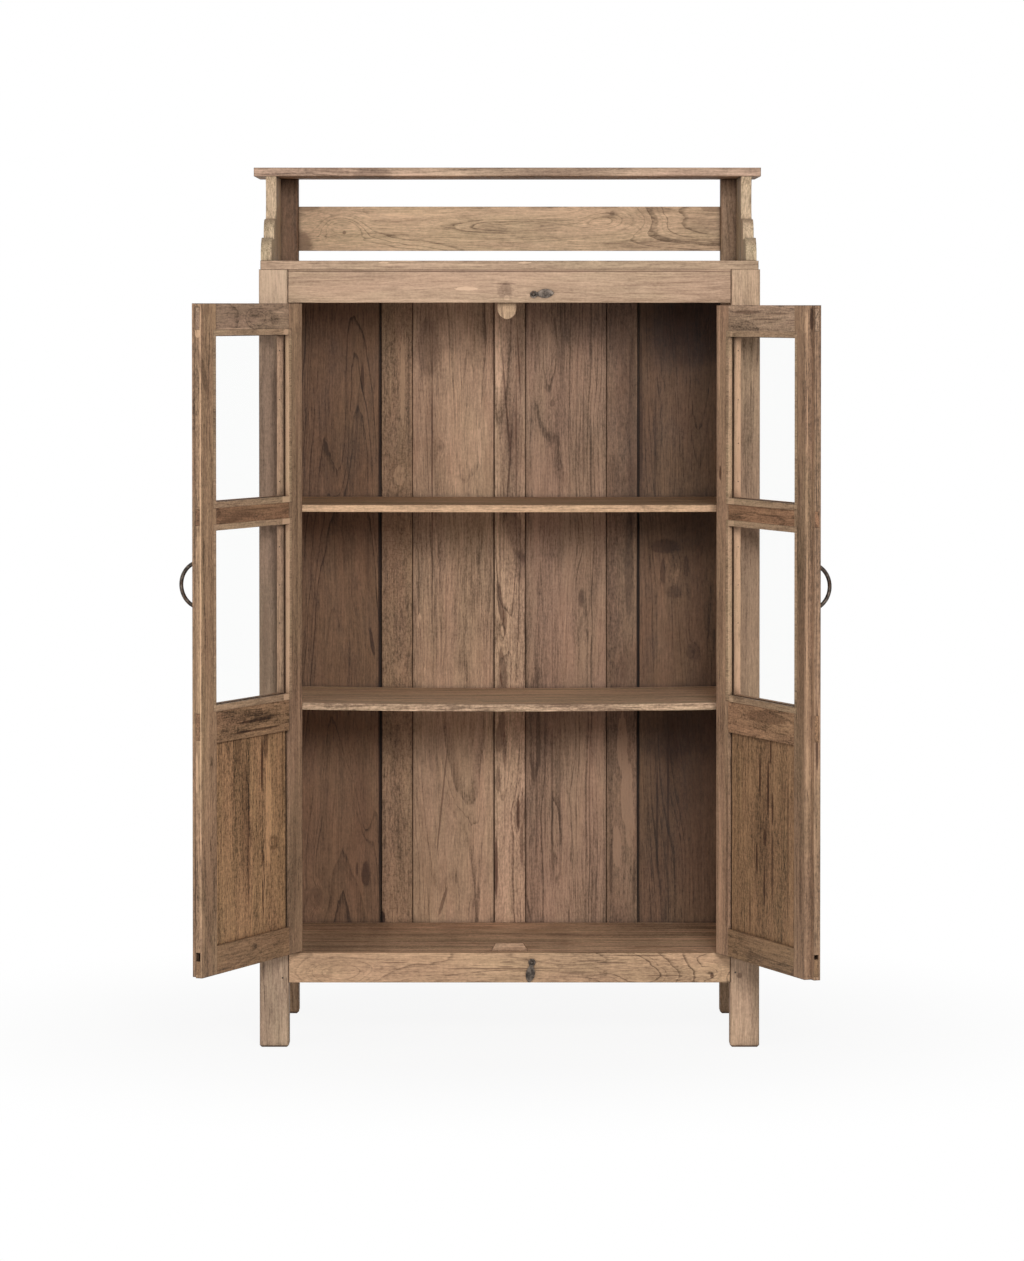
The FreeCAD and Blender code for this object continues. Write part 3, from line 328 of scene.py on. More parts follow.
def teak_group():
    """Old bare teak. Local coordinates run along the board in x, from its middle."""
    tree = bpy.data.node_groups.new("teak", "ShaderNodeTree")
    for kind, names in GROUP_INPUTS.items():
        for name in names:
            tree.interface.new_socket(name, in_out="INPUT", socket_type="NodeSocket" + kind)
    for name, kind in (("Color", "Color"), ("Roughness", "Float"), ("Height", "Float")):
        tree.interface.new_socket(name, in_out="OUTPUT", socket_type="NodeSocket" + kind)
    w = Wires(tree)
    source = tree.nodes.new("NodeGroupInput")
    take = {socket.name: Value(w, socket) for socket in source.outputs}
    weather = take["Weather"]

    def layer(name, where, place=None, colour=False):
        along, across, detail, roughness = LAYERS[name]
        where = where * (along, across, across)
        return w.noise(where + place if place else where, 1.0, detail, roughness, colour)

    def step(name, value):
        return w.span(value, *STEPS[name])

    def tint(colour, name, share=1.0):
        most, by = TINTS[name]
        return w.mix(share * most, colour, (*by, 1.0), "MULTIPLY")

    grain = take["Local"] + take["Offset"]
    along = w.split(grain)[0]
    # Yearly rings: cones round a pith that wanders, cut by the face of the board.
    wander = layer("wander", grain, colour=True) - (0.5, 0.5, 0.5)
    bent = grain + wander * (0.0, PITH_WANDER, PITH_WANDER) + take["Push"]
    radius = w.vector("LENGTH", bent * (0.0, 1.0, 1.0)) - along * take["Taper"]
    wobble = layer("wobble", grain) - 0.5
    turns = (radius + wobble * RING_WOBBLE) * take["Rings"]
    turns = turns + w.line_noise(turns, *YEARS) * YEARS_SHARE
    year = w.math("FRACT", turns)
    where = w.join(along * FAINT_PLACE[0], turns * FAINT_PLACE[1], 0.0)
    line = step("late wood", year) * step("ring end", year) * step("faint", w.noise(where, *FAINT))
    # Fibres, streaks, blotches and dirt, from fine to broad.
    fibre = layer("fibre", bent) - 0.5
    thread = layer("thread", bent) - 0.5
    grit = layer("grit", grain) - 0.5
    flake = layer("flake", grain)
    streak = layer("streak", bent) - 0.5
    blotch = layer("blotch", grain) - 0.5
    grime = layer("grime", grain)
    speck = layer("speck", grain)
    ticks = layer("ticks", grain)
    value = fibre * WEIGHTS["fibre"] + thread + grit * (weather + GRIT_AT_LEAST)
    value = value + streak * take["Streak"] + blotch * take["Blotch"]
    value = value + (grime - 0.5) * WEIGHTS["grime"] + (speck - 0.5) * (weather * WEIGHTS["speck"])
    value = value + (ticks - 0.5) * (weather * WEIGHTS["ticks"])
    value = value - line * (take["Figure"] * WEIGHTS["line"]) - take["Eye"] * WEIGHTS["eye"]
    # Painted light: the top end of a front post is painted paler, where it is lit above the open
    # door's shadow.
    value = value + step("painted lit top", w.split(take["Local"])[0] - take["Painted_Lit_Top_At"]) * take["Painted_Lit_Top"]
    # Painted light: faces towards the front and back are made lighter or darker than the top, on
    # the shelves.
    value = value + step("painted edge light", abs(w.split(take["Facing"])[1])) * take["Edge"]
    fine = fibre + thread + 1.0
    # Marks above zero lighten the wood: pale marks, and painted highlights on the lit reveals of
    # the lights.
    value = value + w.math("MAXIMUM", take["Mark_And_Painted_Light"], 0.0) * fine + 0.5
    colour = w.mix(w.slope(value, 0.0, 0.5), take["Dark"], take["Middle"])
    colour = w.mix(w.slope(value, 0.5, 1.0), colour, take["Light"])
    tone = step("tone", layer("tone", grain, TONE_PLACE))
    colour = w.mix(tone, tint(colour, "pinker"), tint(colour, "greener"))
    # Marks below zero darken it: dark marks, and painted shade and shadow.
    dark_mark_and_shade = (w.math("MINIMUM", take["Mark_And_Painted_Light"], 0.0) * (fine * MARK_AND_SHADE_DEPTH)).clamped()
    colour = tint(colour, "mark_and_painted_shade", dark_mark_and_shade)
    # Dark stains with a soft edge, pits, saw cuts, and dry pale scuffs.
    stain = step("stain", grime + blotch * BREAK_UP["stain"]) * take["Stain"]
    colour = tint(colour, "stain", stain)
    pits = step("pits", speck + grime * BREAK_UP["pits"]) * weather
    colour = tint(colour, "pits", pits)
    cuts = step("cuts", ticks + blotch * BREAK_UP["cuts"]) * take["Saw"]
    colour = tint(colour, "cuts", cuts)
    dry = step("dry", layer("dry", grain, DRY_PLACE) + fibre * BREAK_UP["dry"]) * take["Dry"]
    colour = w.mix(dry * RUBS["dry"], colour, take["Worn"])
    chips = step("chips", flake) * take["Chips"]
    scraped = step("scraped", take["Scrape"] + (flake - 0.5) * BREAK_UP["scraped"])
    pale = w.math("MAXIMUM", chips, scraped * step("scrape edge", take["Scrape"]))
    colour = w.mix(pale * RUBS["pale"], colour, take["Worn"])
    # End grain is darker, and so are the joints at the ends.
    lengthwise = abs(w.split(take["Facing"])[0])
    colour = tint(colour, "ends", step("ends", lengthwise))
    past = abs(w.split(take["Local"])[0] - take["Shoulder_Middle"]) - take["Shoulder_Half"]
    seam = step("shoulder", past) * step("not an end", lengthwise)
    colour = tint(colour, "seam", seam)
    # Arrises are rubbed pale where the wood stands proud. Painted shade: ambient occlusion darkens
    # the corners and the gaps between parts.
    bevel = w.put(w.add("Bevel", samples=RAY_SAMPLES), {"Radius": ARRIS_RADIUS})
    normal = w.out(w.add("NewGeometry"), "Normal")
    turn = 1.0 - w.vector("DOT_PRODUCT", w.out(bevel), normal)
    hollow = w.add("AmbientOcclusion", samples=RAY_SAMPLES)
    open_air = w.out(w.put(hollow, {"Distance": CORNER_SHADE_REACH}), "AO")
    edge = step("arris", turn) * step("open", open_air)
    worn_here = step("worn", grime + fibre * BREAK_UP["worn"])
    rubbed = (edge * worn_here * take["Wear"]).clamped()
    colour = w.mix(rubbed * RUBS["rubbed"], colour, take["Worn"])
    colour = tint(colour, "arris", edge * (1.0 - worn_here))
    colour = tint(colour, "corner", step("corner", open_air))
    rough = take["Rough"] + (grime - 0.5) * ROUGH_SHARE
    height = fibre * RELIEF["fibre"] + line * RELIEF["line"] + (grime - 0.5) * RELIEF["grime"]
    height = height + (speck - 0.5) * weather * RELIEF["speck"]
    height = height + pits * RELIEF["pits"] + seam * RELIEF["seam"]
    w.put(tree.nodes.new("NodeGroupOutput"), {
        "Color": colour, "Roughness": (rough + rubbed * RUBBED_SHEEN).clamped(), "Height": height})
    return tree


TEAK = teak_group()
GRAIN_TURNS = {
    "X": (0.0, 0.0, 0.0), "Y": (0.0, 0.0, -math.pi / 2), "Z": (0.0, math.pi / 2, 0.0),
}
TEAK_NUMBERS = {
    "Taper": 0.03, "Rings": 130.0, "Figure": 0.6, "Blotch": 0.8, "Streak": 0.6, "Weather": 0.5,
    "Stain": 0.35, "Dry": 0.25, "Wear": 0.5, "Painted_Lit_Top": 0.0, "Painted_Lit_Top_At": 0.0, "Edge": 0.0,
    "Chips": 0.12, "Saw": 0.0, "Rough": 0.66,
}


# Knots and arches in the figure, seen from the front: x, z, size, share of it along the grain,
# and how dark the eye is.
KNOTS = {
    "back_board_1": [(-0.306, 0.624, 0.022, 0.13, 0), (-0.376, 0.222, 0.013, 0.7, 0.5),
        (-0.279, 0.41, 0.012, 0.15, 0), (-0.329, 1.187, 0.016, 0.1, 0)],
    "back_board_2": [(-0.106, 0.216, 0.022, 0.16, 0), (-0.133, 1.098, 0.008, 0.7, 0.4)],
    "back_board_3": [(0.077, 1.323, 0.018, 0.13, 0), (0.137, 0.803, 0.014, 0.3, 0.3),
        (0.083, 0.488, 0.02, 0.08, 0)],
    "back_board_4": [(0.322, 0.867, 0.013, 0.8, 0.8), (0.308, 1.09, 0.018, 0.12, 0),
        (0.357, 0.702, 0.009, 0.7, 0.6), (0.331, 0.294, 0.02, 0.14, 0)],
    "back_batten_2": [(0.015, 0.387, 0.01, 0.5, 0.3), (-0.011, 0.741, 0.01, 0.3, 0)],
    "gallery_back_board": [(-0.325, 1.531, 0.02, 0.55, 0.2), (0.199, 1.551, 0.026, 0.55, 0.5),
        (0.005, 1.526, 0.022, 0.14, 0), (0.098, 1.529, 0.016, 0.15, 0)],
    "front_bottom_rail": [(-0.314, 0.127, 0.03, 0.5, 0), (-0.156, 0.153, 0.026, 0.14, 0),
        (0.14, 0.164, 0.022, 0.22, 0), (0.26, 0.131, 0.026, 0.35, 0),
        (0.375, 0.138, 0.008, 0.7, 0.6)],
    "front_top_rail": [(-0.006, 1.402, 0.008, 0.8, 0.3)],
    "left_door_top_rail": [(-0.472, 1.352, 0.013, 0.35, 0)],
    "left_door_panel": [(-0.431, 0.392, 0.008, 0.45, 0.7)],
    "right_door_hinge_stile": [(0.389, 0.87, 0.006, 0.5, 0.6)],
    "right_door_panel": [(0.461, 0.451, 0.012, 0.3, 0.3)],
}

# Marks on single boards, seen from the front: x, z, half width, half height, how much lighter
# (or darker, below zero), and how far it leans. Besides real marks, some paint light: shade at
# the top of the bays, the open doors' shadow on the front posts, shadow in the gaps beside the
# battens, and highlights along the hinge side of the lights. Scrapes are pale and flaky.
MARKS_AND_PAINTED_LIGHT = {
    # The thin full-height dark line at the right edge is painted shadow in the gap by batten 1.
    "back_board_1": [(-0.253, 0.76, 0.0017, 0.6412, -0.95),
        (-0.285, 1.232, 0.0039, 0.0291, -0.5), (-0.296, 1.139, 0.0031, 0.0874, -0.3, 0.06),
        (-0.32, 1.285, 0.0389, 0.0777, -0.1), (-0.349, 1.051, 0.0155, 0.1166, -0.08),
        (-0.267, 0.721, 0.0039, 0.0311, -0.55, -0.15), (-0.275, 0.877, 0.0097, 0.0777, -0.12),
        (-0.279, 0.269, 0.0097, 0.0272, -0.5), (-0.296, 0.278, 0.0023, 0.0155, -0.5),
        (-0.275, 0.877, 0.0039, 0.0583, -0.2), (-0.285, 0.41, 0.0253, 0.136, -0.1),
        (-0.376, 0.224, 0.0253, 0.0272, -0.2), (-0.38, 0.22, 0.0117, 0.0117, 0.12),
        (-0.349, 0.158, 0.0583, 0.0194, -0.12), (-0.306, 0.838, 0.0019, 0.0466, -0.25),
        (-0.339, 0.877, 0.0019, 0.0583, -0.2)],
    # The thin full-height dark line at the left edge is painted shadow in the gap by board 1.
    "back_batten_1": [(-0.25, 0.76, 0.0027, 0.6412, -1), (-0.246, 0.181, 0.0058, 0.0175, -0.9),
        (-0.24, 0.877, 0.0058, 0.1166, -0.2), (-0.205, 1.226, 0.0058, 0.1166, -0.15),
        (-0.224, 0.216, 0.0272, 0.0971, 0.16), (-0.221, 0.527, 0.0194, 0.0389, -0.15),
        (-0.195, 1.187, 0.0023, 0.1554, -0.3), (-0.248, 0.605, 0.0029, 0.1749, -0.3)],
    "back_board_2": [(-0.125, 0.41, 0.0874, 0.2526, -0.11),
        (-0.158, 1.294, 0.0233, 0.0661, -0.3), (-0.154, 1.129, 0.0136, 0.1166, -0.16),
        (-0.15, 1.032, 0.0016, 0.3109, -0.45), (-0.086, 1.149, 0.0427, 0.1749, 0.14),
        (-0.05, 1.323, 0.0097, 0.0583, -0.12), (-0.18, 1.149, 0.0078, 0.0971, -0.14),
        (-0.129, 0.216, 0.0039, 0.0311, -0.4, 0.3), (-0.069, 0.216, 0.0039, 0.0233, -0.25, 0.2),
        (-0.131, 0.41, 0.0021, 0.1166, -0.35, 0.1), (-0.135, 0.605, 0.0233, 0.0777, 0.1),
        (-0.133, 1.1, 0.0097, 0.0155, -0.2), (-0.116, 1.285, 0.0019, 0.0777, -0.25),
        (-0.123, 0.76, 0.0017, 0.1166, -0.25)],
    "back_batten_2": [(0.011, 1.226, 0.0311, 0.1943, -0.25),
        (0.005, 1.071, 0.0389, 0.136, -0.25), (-0.007, 1.187, 0.0021, 0.136, -0.35, -0.08),
        (-0.001, 1.051, 0.0019, 0.0971, -0.3, 0.06), (0.013, 1.129, 0.0019, 0.1749, -0.25),
        (0.018, 1.265, 0.0019, 0.0971, -0.25, -0.05), (0.022, 1.304, 0.0117, 0.1166, -0.2),
        (-0.024, 1.294, 0.0097, 0.101, 0.3, -0.06), (0.013, 0.931, 0.0214, 0.0661, -0.3, -0.3),
        (0.022, 0.865, 0.0097, 0.0389, -0.26), (0.005, 0.799, 0.0175, 0.0427, 0.12),
        (-0.018, 0.915, 0.0023, 0.1166, -0.3), (-0.011, 0.954, 0.0019, 0.0971, -0.3),
        (-0.018, 0.799, 0.0058, 0.0466, -0.5, -0.12), (-0.009, 0.764, 0.0039, 0.035, -0.4),
        (-0.013, 0.667, 0.0078, 0.0466, -0.45, -0.1), (-0.018, 0.624, 0.0049, 0.0389, -0.4),
        (-0.017, 0.546, 0.0097, 0.0466, -0.42, 0.12), (-0.009, 0.511, 0.0039, 0.0389, -0.4),
        (-0.022, 0.453, 0.0058, 0.0272, -0.35), (0.024, 0.387, 0.0155, 0.035, -0.28),
        (0.017, 0.387, 0.0031, 0.0389, -0.45), (0.024, 0.325, 0.0039, 0.0427, -0.4),
        (-0.026, 0.284, 0.0039, 0.0661, -0.6), (-0.009, 0.41, 0.0019, 0.0777, -0.2)],
    # The broad faint dark ovals at the top of each bay are painted shade under the top rail and
    # shelves.
    "back_board_3": [(0.176, 1.382, 0.1166, 0.1166, -0.16),
        (0.176, 0.614, 0.1166, 0.0971, -0.12), (0.127, 0.877, 0.1166, 0.0971, -0.08),
        (0.083, 1.184, 0.0058, 0.0078, -0.3), (0.102, 1.285, 0.0078, 0.0971, -0.2),
        (0.071, 1.294, 0.0155, 0.0505, 0.14), (0.131, 1.187, 0.0058, 0.2137, -0.1),
        (0.143, 1.129, 0.0019, 0.1166, -0.32), (0.158, 1.051, 0.0019, 0.0971, -0.32),
        (0.139, 0.805, 0.0058, 0.0194, -0.3), (0.083, 0.721, 0.0019, 0.1166, -0.25),
        (0.083, 0.41, 0.0021, 0.1554, -0.35), (0.053, 0.43, 0.0021, 0.1749, -0.3),
        (0.098, 0.449, 0.0019, 0.1554, -0.3), (0.069, 0.469, 0.0017, 0.1749, -0.3),
        (0.137, 0.799, 0.0311, 0.1166, -0.08), (0.156, 0.41, 0.0019, 0.1554, -0.25)],
    # The broad dark ovals at the top of each bay are painted shade under the top rail and shelves;
    # the thin full-height line at the right edge is painted shadow in the gap by board 4.
    "back_batten_3": [(0.226, 1.382, 0.0583, 0.1554, -0.22),
        (0.226, 1.003, 0.0583, 0.0971, -0.16), (0.226, 0.614, 0.0583, 0.1166, -0.18),
        (0.249, 0.76, 0.0029, 0.6412, -0.95), (0.219, 1.226, 0.0311, 0.136, -0.13),
        (0.222, 0.313, 0.0311, 0.1749, 0.09), (0.238, 1.129, 0.0097, 0.2137, -0.26),
        (0.201, 1.149, 0.0097, 0.0971, 0.1), (0.232, 0.877, 0.0097, 0.1166, -0.34),
        (0.242, 0.255, 0.0039, 0.0505, -0.4), (0.197, 0.284, 0.0039, 0.0583, -0.35),
        (0.199, 1.323, 0.0078, 0.0583, -0.1)],
    # The broad dark ovals at the top right of each bay are painted shade under the top rail and
    # shelves, beside the case's right side; the thin full-height line at the left edge is painted
    # shadow in the gap by batten 3.
    "back_board_4": [(0.251, 0.76, 0.0016, 0.6412, -0.95), (0.322, 0.41, 0.0971, 0.2137, -0.22),
        (0.255, 1.149, 0.0039, 0.1749, -0.35), (0.283, 1.09, 0.0027, 0.1166, -0.3),
        (0.302, 0.906, 0.0311, 0.0155, -0.28), (0.32, 0.818, 0.0194, 0.0136, -0.28),
        (0.298, 0.857, 0.0058, 0.0272, -0.4), (0.343, 0.867, 0.0058, 0.0233, -0.28),
        (0.287, 0.371, 0.0025, 0.1166, -0.35), (0.308, 0.41, 0.0025, 0.136, -0.3),
        (0.351, 0.562, 0.136, 0.0971, -0.24), (0.37, 0.517, 0.1166, 0.1749, -0.2),
        (0.351, 1.362, 0.136, 0.1749, -0.25), (0.351, 1.382, 0.1749, 0.136, -0.25),
        (0.39, 1.304, 0.1166, 0.2526, -0.14), (0.254, 1.187, 0.0583, 0.2331, -0.1),
        (0.357, 0.702, 0.0155, 0.0194, -0.28), (0.351, 0.945, 0.1166, 0.0777, -0.22),
        (0.38, 0.915, 0.0971, 0.1166, -0.14), (0.323, 0.857, 0.0097, 0.0194, 0.25),
        (0.38, 1.343, 0.1166, 0.136, -0.14), (0.269, 0.605, 0.0233, 0.1166, -0.1)],
    "gallery_back_board": [(-0.415, 1.491, 0.0389, 0.0311, -0.42),
        (-0.395, 1.564, 0.0311, 0.0097, -0.28), (-0.442, 1.527, 0.0155, 0.0505, -0.2),
        (-0.32, 1.514, 0.0039, 0.0039, -0.4), (-0.034, 1.522, 0.0505, 0.0136, -0.16),
        (0.069, 1.527, 0.0583, 0.0155, -0.14), (-0.077, 1.547, 0.0389, 0.0078, -0.1),
        (0.199, 1.551, 0.0058, 0.0049, -0.3), (0.254, 1.541, 0.0583, 0.0155, -0.14),
        (0.283, 1.557, 0.0544, 0.0078, -0.22), (0.37, 1.533, 0.0583, 0.0194, -0.12),
        (0.393, 1.561, 0.0233, 0.0078, -0.3), (0.098, 1.487, 0.1166, 0.0078, 0.14),
        (-0.174, 1.549, 0.136, 0.0117, 0.1), (0.351, 1.491, 0.0583, 0.0097, 0.1),
        (-0.213, 1.498, 0.0777, 0.0078, 0.06)],
    "rear_left_post": [(-0.432, 1.566, 0.0505, 0.136, -0.4)],
    "rear_right_post": [(0.434, 1.566, 0.0505, 0.136, -0.28)],
    "gallery_shelf": [(-0.156, 1.62, 0.0833, 0.0111, 0.26),
        (-0.258, 1.62, 0.0407, 0.0148, -0.26), (-0.388, 1.62, 0.0555, 0.0148, 0.06),
        (0.084, 1.62, 0.1388, 0.0148, -0.2), (-0.275, 1.615, 0.0037, 0.0019, -0.7),
        (0.352, 1.62, 0.074, 0.0148, -0.14)],
    "front_top_rail": [(-0.001, 1.436, 0.555, 0.0015, -0.5),
        (-0.008, 1.4, 0.0148, 0.0167, -0.26), (-0.005, 1.387, 0.0056, 0.0056, 0.3),
        (-0.129, 1.381, 0.0925, 0.0056, 0.08), (-0.277, 1.428, 0.111, 0.0093, -0.06),
        (-0.008, 1.413, 0.0222, 0.0019, -0.3)],
    "case_top_board": [(-0.001, 1.438, 0.555, 0.0013, -0.4), (-0.11, 1.448, 0.3515, 0.0019, 0.2),
        (0.26, 1.441, 0.1665, 0.0037, -0.2)],
    "front_bottom_rail": [(-0.055, 0.151, 0.111, 0.0222, 0.08),
        (-0.304, 0.157, 0.074, 0.0222, -0.08), (-0.018, 0.146, 0.111, 0.0013, -0.45),
        (-0.003, 0.158, 0.0148, 0.0013, -0.5), (-0.006, 0.149, 0.0167, 0.0013, -0.45),
        (0.149, 0.16, 0.0296, 0.0015, -0.4), (0.121, 0.138, 0.037, 0.0015, -0.35),
        (-0.332, 0.138, 0.0056, 0.0148, -0.12), (-0.212, 0.157, 0.0259, 0.0015, -0.35),
        (0.241, 0.17, 0.0555, 0.0017, -0.45), (0.195, 0.157, 0.0259, 0.0015, -0.4),
        (0.286, 0.133, 0.0407, 0.0017, -0.4), (0.375, 0.133, 0.0037, 0.0056, -0.6),
        (-0.351, 0.133, 0.0259, 0.0037, -0.2)],
    "bottom_board": [(-0.332, 0.17, 0.0925, 0.0555, -0.2), (-0.249, 0.17, 0.0333, 0.0555, -0.14),
        (-0.11, 0.17, 0.0259, 0.0555, -0.08), (0.093, 0.17, 0.0296, 0.0555, -0.1),
        (0.241, 0.17, 0.0481, 0.0555, -0.08)],
    # The long dark oval down the middle is the open left door's shadow, painted.
    "front_left_post": [(-0.447, 0.956, 0.0407, 0.4163, -0.3),
        (-0.451, 0.752, 0.0111, 0.148, -0.12), (-0.443, 0.068, 0.0167, 0.037, -0.12),
        (-0.418, 0.031, 0.0074, 0.0407, 0.12)],
    # The long dark oval down the middle is the open right door's shadow, painted.
    "front_right_post": [(0.443, 0.956, 0.037, 0.4163, -0.13),
        (0.426, 0.133, 0.0056, 0.0056, -0.4), (0.436, 0.049, 0.0185, 0.0555, 0.05)],
    "left_door_meeting_stile": [(-0.554, 0.759, 0.0124, 0.5869, -0.1),
        (-0.556, 1.351, 0.0021, 0.0213, -0.95), (-0.542, 1.253, 0.0054, 0.0464, -0.28, -0.2),
        (-0.547, 0.847, 0.0012, 0.588, 0.45), (-0.537, 1.365, 0.0107, 0.0125, -0.2),
        (-0.554, 0.67, 0.0021, 0.2134, -0.2), (-0.535, 0.773, 0.0054, 0.1072, -0.14),
        (-0.532, 0.308, 0.0072, 0.1073, -0.14), (-0.537, 1.024, 0.0071, 0.0893, 0.1),
        (-0.557, 0.35, 0.0018, 0.0888, -0.4)],
    "left_door_top_rail": [(-0.475, 1.358, 0.0545, 0.0164, -0.16),
        (-0.488, 1.331, 0.029, 0.0018, 0.4), (-0.452, 1.367, 0.0256, 0.0018, -0.25),
        (-0.436, 1.345, 0.022, 0.0055, -0.15), (-0.423, 1.361, 0.0111, 0.0028, 0.3)],
    # The long pale strips down the edge of the lights are painted highlights on the lit reveal.
    "left_door_hinge_stile": [(-0.423, 0.976, 0.0085, 0.4329, 0.12),
        (-0.41, 0.975, 0.0033, 0.4158, 0.5), (-0.396, 1.348, 0.0111, 0.0278, 0.14),
        (-0.399, 1.355, 0.0013, 0.0167, -0.3), (-0.391, 1.333, 0.0013, 0.013, -0.3),
        (-0.403, 0.826, 0.0019, 0.2222, -0.25), (-0.391, 1.047, 0.0022, 0.1857, -0.25),
        (-0.396, 0.343, 0.0046, 0.167, -0.16), (-0.388, 0.824, 0.0015, 0.5577, 0.2),
        (-0.399, 0.529, 0.0037, 0.1112, 0.14)],
    "left_door_middle_rail": [(-0.48, 0.998, 0.0363, 0.0109, -0.24),
        (-0.431, 0.971, 0.0257, 0.0046, 0.36), (-0.501, 0.988, 0.018, 0.0036, -0.3),
        (-0.452, 1.005, 0.0292, 0.0018, -0.3)],
    "left_door_lock_rail": [(-0.459, 0.622, 0.0328, 0.0029, -0.6),
        (-0.452, 0.605, 0.0366, 0.0024, -0.55), (-0.48, 0.605, 0.0145, 0.0029, -0.5),
        (-0.439, 0.626, 0.022, 0.0018, -0.45), (-0.464, 0.647, 0.0437, 0.0055, 0.18),
        (-0.414, 0.628, 0.0055, 0.0185, 0.14)],
    "left_door_panel": [(-0.439, 0.464, 0.0055, 0.1284, 0.34),
        (-0.426, 0.48, 0.0092, 0.1104, 0.16), (-0.45, 0.54, 0.002, 0.0549, -0.8),
        (-0.448, 0.329, 0.0022, 0.0695, -0.85), (-0.431, 0.392, 0.0092, 0.0147, -0.4),
        (-0.433, 0.393, 0.0046, 0.0073, 0.3), (-0.478, 0.474, 0.0091, 0.1634, -0.22),
        (-0.465, 0.507, 0.0055, 0.1093, 0.22), (-0.472, 0.381, 0.0018, 0.1091, -0.4),
        (-0.459, 0.651, 0.0018, 0.073, -0.4), (-0.488, 0.585, 0.0054, 0.0543, -0.3),
        (-0.416, 0.533, 0.0018, 0.1107, -0.35), (-0.443, 0.575, 0.0046, 0.0293, -0.4)],
    "left_door_bottom_rail": [(-0.464, 0.164, 0.0364, 0.0026, -0.4),
        (-0.447, 0.177, 0.0366, 0.0022, -0.35), (-0.488, 0.154, 0.0217, 0.0036, -0.3),
        (-0.409, 0.189, 0.0111, 0.0148, 0.14)],
    # A painted highlight on the lit face of the hinge-side bead.
    "left_door_glazing_beads": [(-0.409, 0.975, 0.0063, 0.4529, 1.2)],
    # The long pale strip down the edge of the lights is a painted highlight on the lit reveal.
    "right_door_hinge_stile": [(0.419, 0.976, 0.0085, 0.4333, 0.5),
        (0.389, 0.341, 0.0046, 0.2044, 0.2), (0.401, 0.381, 0.0046, 0.1852, -0.2),
        (0.388, 1.065, 0.0019, 0.0149, -0.6), (0.398, 1.159, 0.0022, 0.1669, -0.2),
        (0.389, 0.787, 0.0037, 0.1115, -0.16), (0.408, 0.734, 0.0018, 0.111, 0.25),
        (0.386, 1.288, 0.0019, 0.093, 0.3)],
    "right_door_top_rail": [(0.431, 1.361, 0.0257, 0.0037, -0.4),
        (0.461, 1.348, 0.0255, 0.0018, -0.35), (0.482, 1.358, 0.0218, 0.0018, -0.35),
        (0.457, 1.336, 0.0438, 0.0037, 0.16), (0.424, 1.326, 0.0184, 0.0022, 0.25)],
    "right_door_middle_rail": [(0.461, 1.009, 0.0438, 0.0036, -0.3),
        (0.471, 0.995, 0.0255, 0.0018, -0.4), (0.433, 0.99, 0.0184, 0.0018, 0.3),
        (0.457, 0.98, 0.0438, 0.0027, 0.22)],
    "right_door_lock_rail": [(0.462, 0.63, 0.0365, 0.0128, -0.34),
        (0.453, 0.6, 0.0402, 0.0055, 0.22), (0.434, 0.647, 0.022, 0.0018, -0.4),
        (0.477, 0.643, 0.0218, 0.0018, -0.35)],
    "right_door_panel": [(0.454, 0.522, 0.0016, 0.0439, -0.7),
        (0.467, 0.503, 0.0018, 0.0547, -0.75), (0.474, 0.466, 0.0016, 0.0327, -0.7),
        (0.449, 0.371, 0.0016, 0.0293, -0.7), (0.461, 0.323, 0.0015, 0.0401, -0.6),
        (0.438, 0.28, 0.0013, 0.0551, -0.5), (0.457, 0.395, 0.0183, 0.1461, -0.14),
        (0.441, 0.529, 0.0165, 0.0734, 0.16), (0.471, 0.571, 0.0016, 0.0291, -0.6),
        (0.462, 0.411, 0.0026, 0.0182, -0.45), (0.428, 0.461, 0.0092, 0.1104, 0.1),
        (0.49, 0.476, 0.0054, 0.1449, -0.18), (0.474, 0.363, 0.0018, 0.0728, -0.5),
        (0.498, 0.405, 0.0018, 0.1446, -0.35)],
    "right_door_bottom_rail": [(0.457, 0.194, 0.0365, 0.0018, -0.3),
        (0.482, 0.18, 0.029, 0.0022, -0.35), (0.428, 0.195, 0.0147, 0.011, 0.1),
        (0.509, 0.177, 0.009, 0.0162, -0.35)],
    "right_door_meeting_stile": [(0.519, 0.752, 0.0099, 0.6203, -0.1),
        (0.539, 0.755, 0.0107, 0.617, 0.12), (0.535, 1.349, 0.0036, 0.0233, -0.6),
        (0.527, 1.336, 0.0018, 0.0287, 0.4), (0.543, 0.845, 0.0014, 0.5717, -0.35),
        (0.527, 0.915, 0.0013, 0.4664, 0.35), (0.519, 0.77, 0.0054, 0.2158, -0.16),
        (0.545, 0.604, 0.0021, 0.0607, -0.7), (0.55, 1.301, 0.0036, 0.107, -0.25),
        (0.519, 1.076, 0.0045, 0.1079, 0.12), (0.517, 0.338, 0.0036, 0.0719, -0.2),
        (0.541, 0.398, 0.0036, 0.1073, 0.16)],
    # A painted highlight on the lit face of the hinge-side bead.
    "right_door_glazing_beads": [(0.406, 0.974, 0.0056, 0.4256, 0.4)],
}

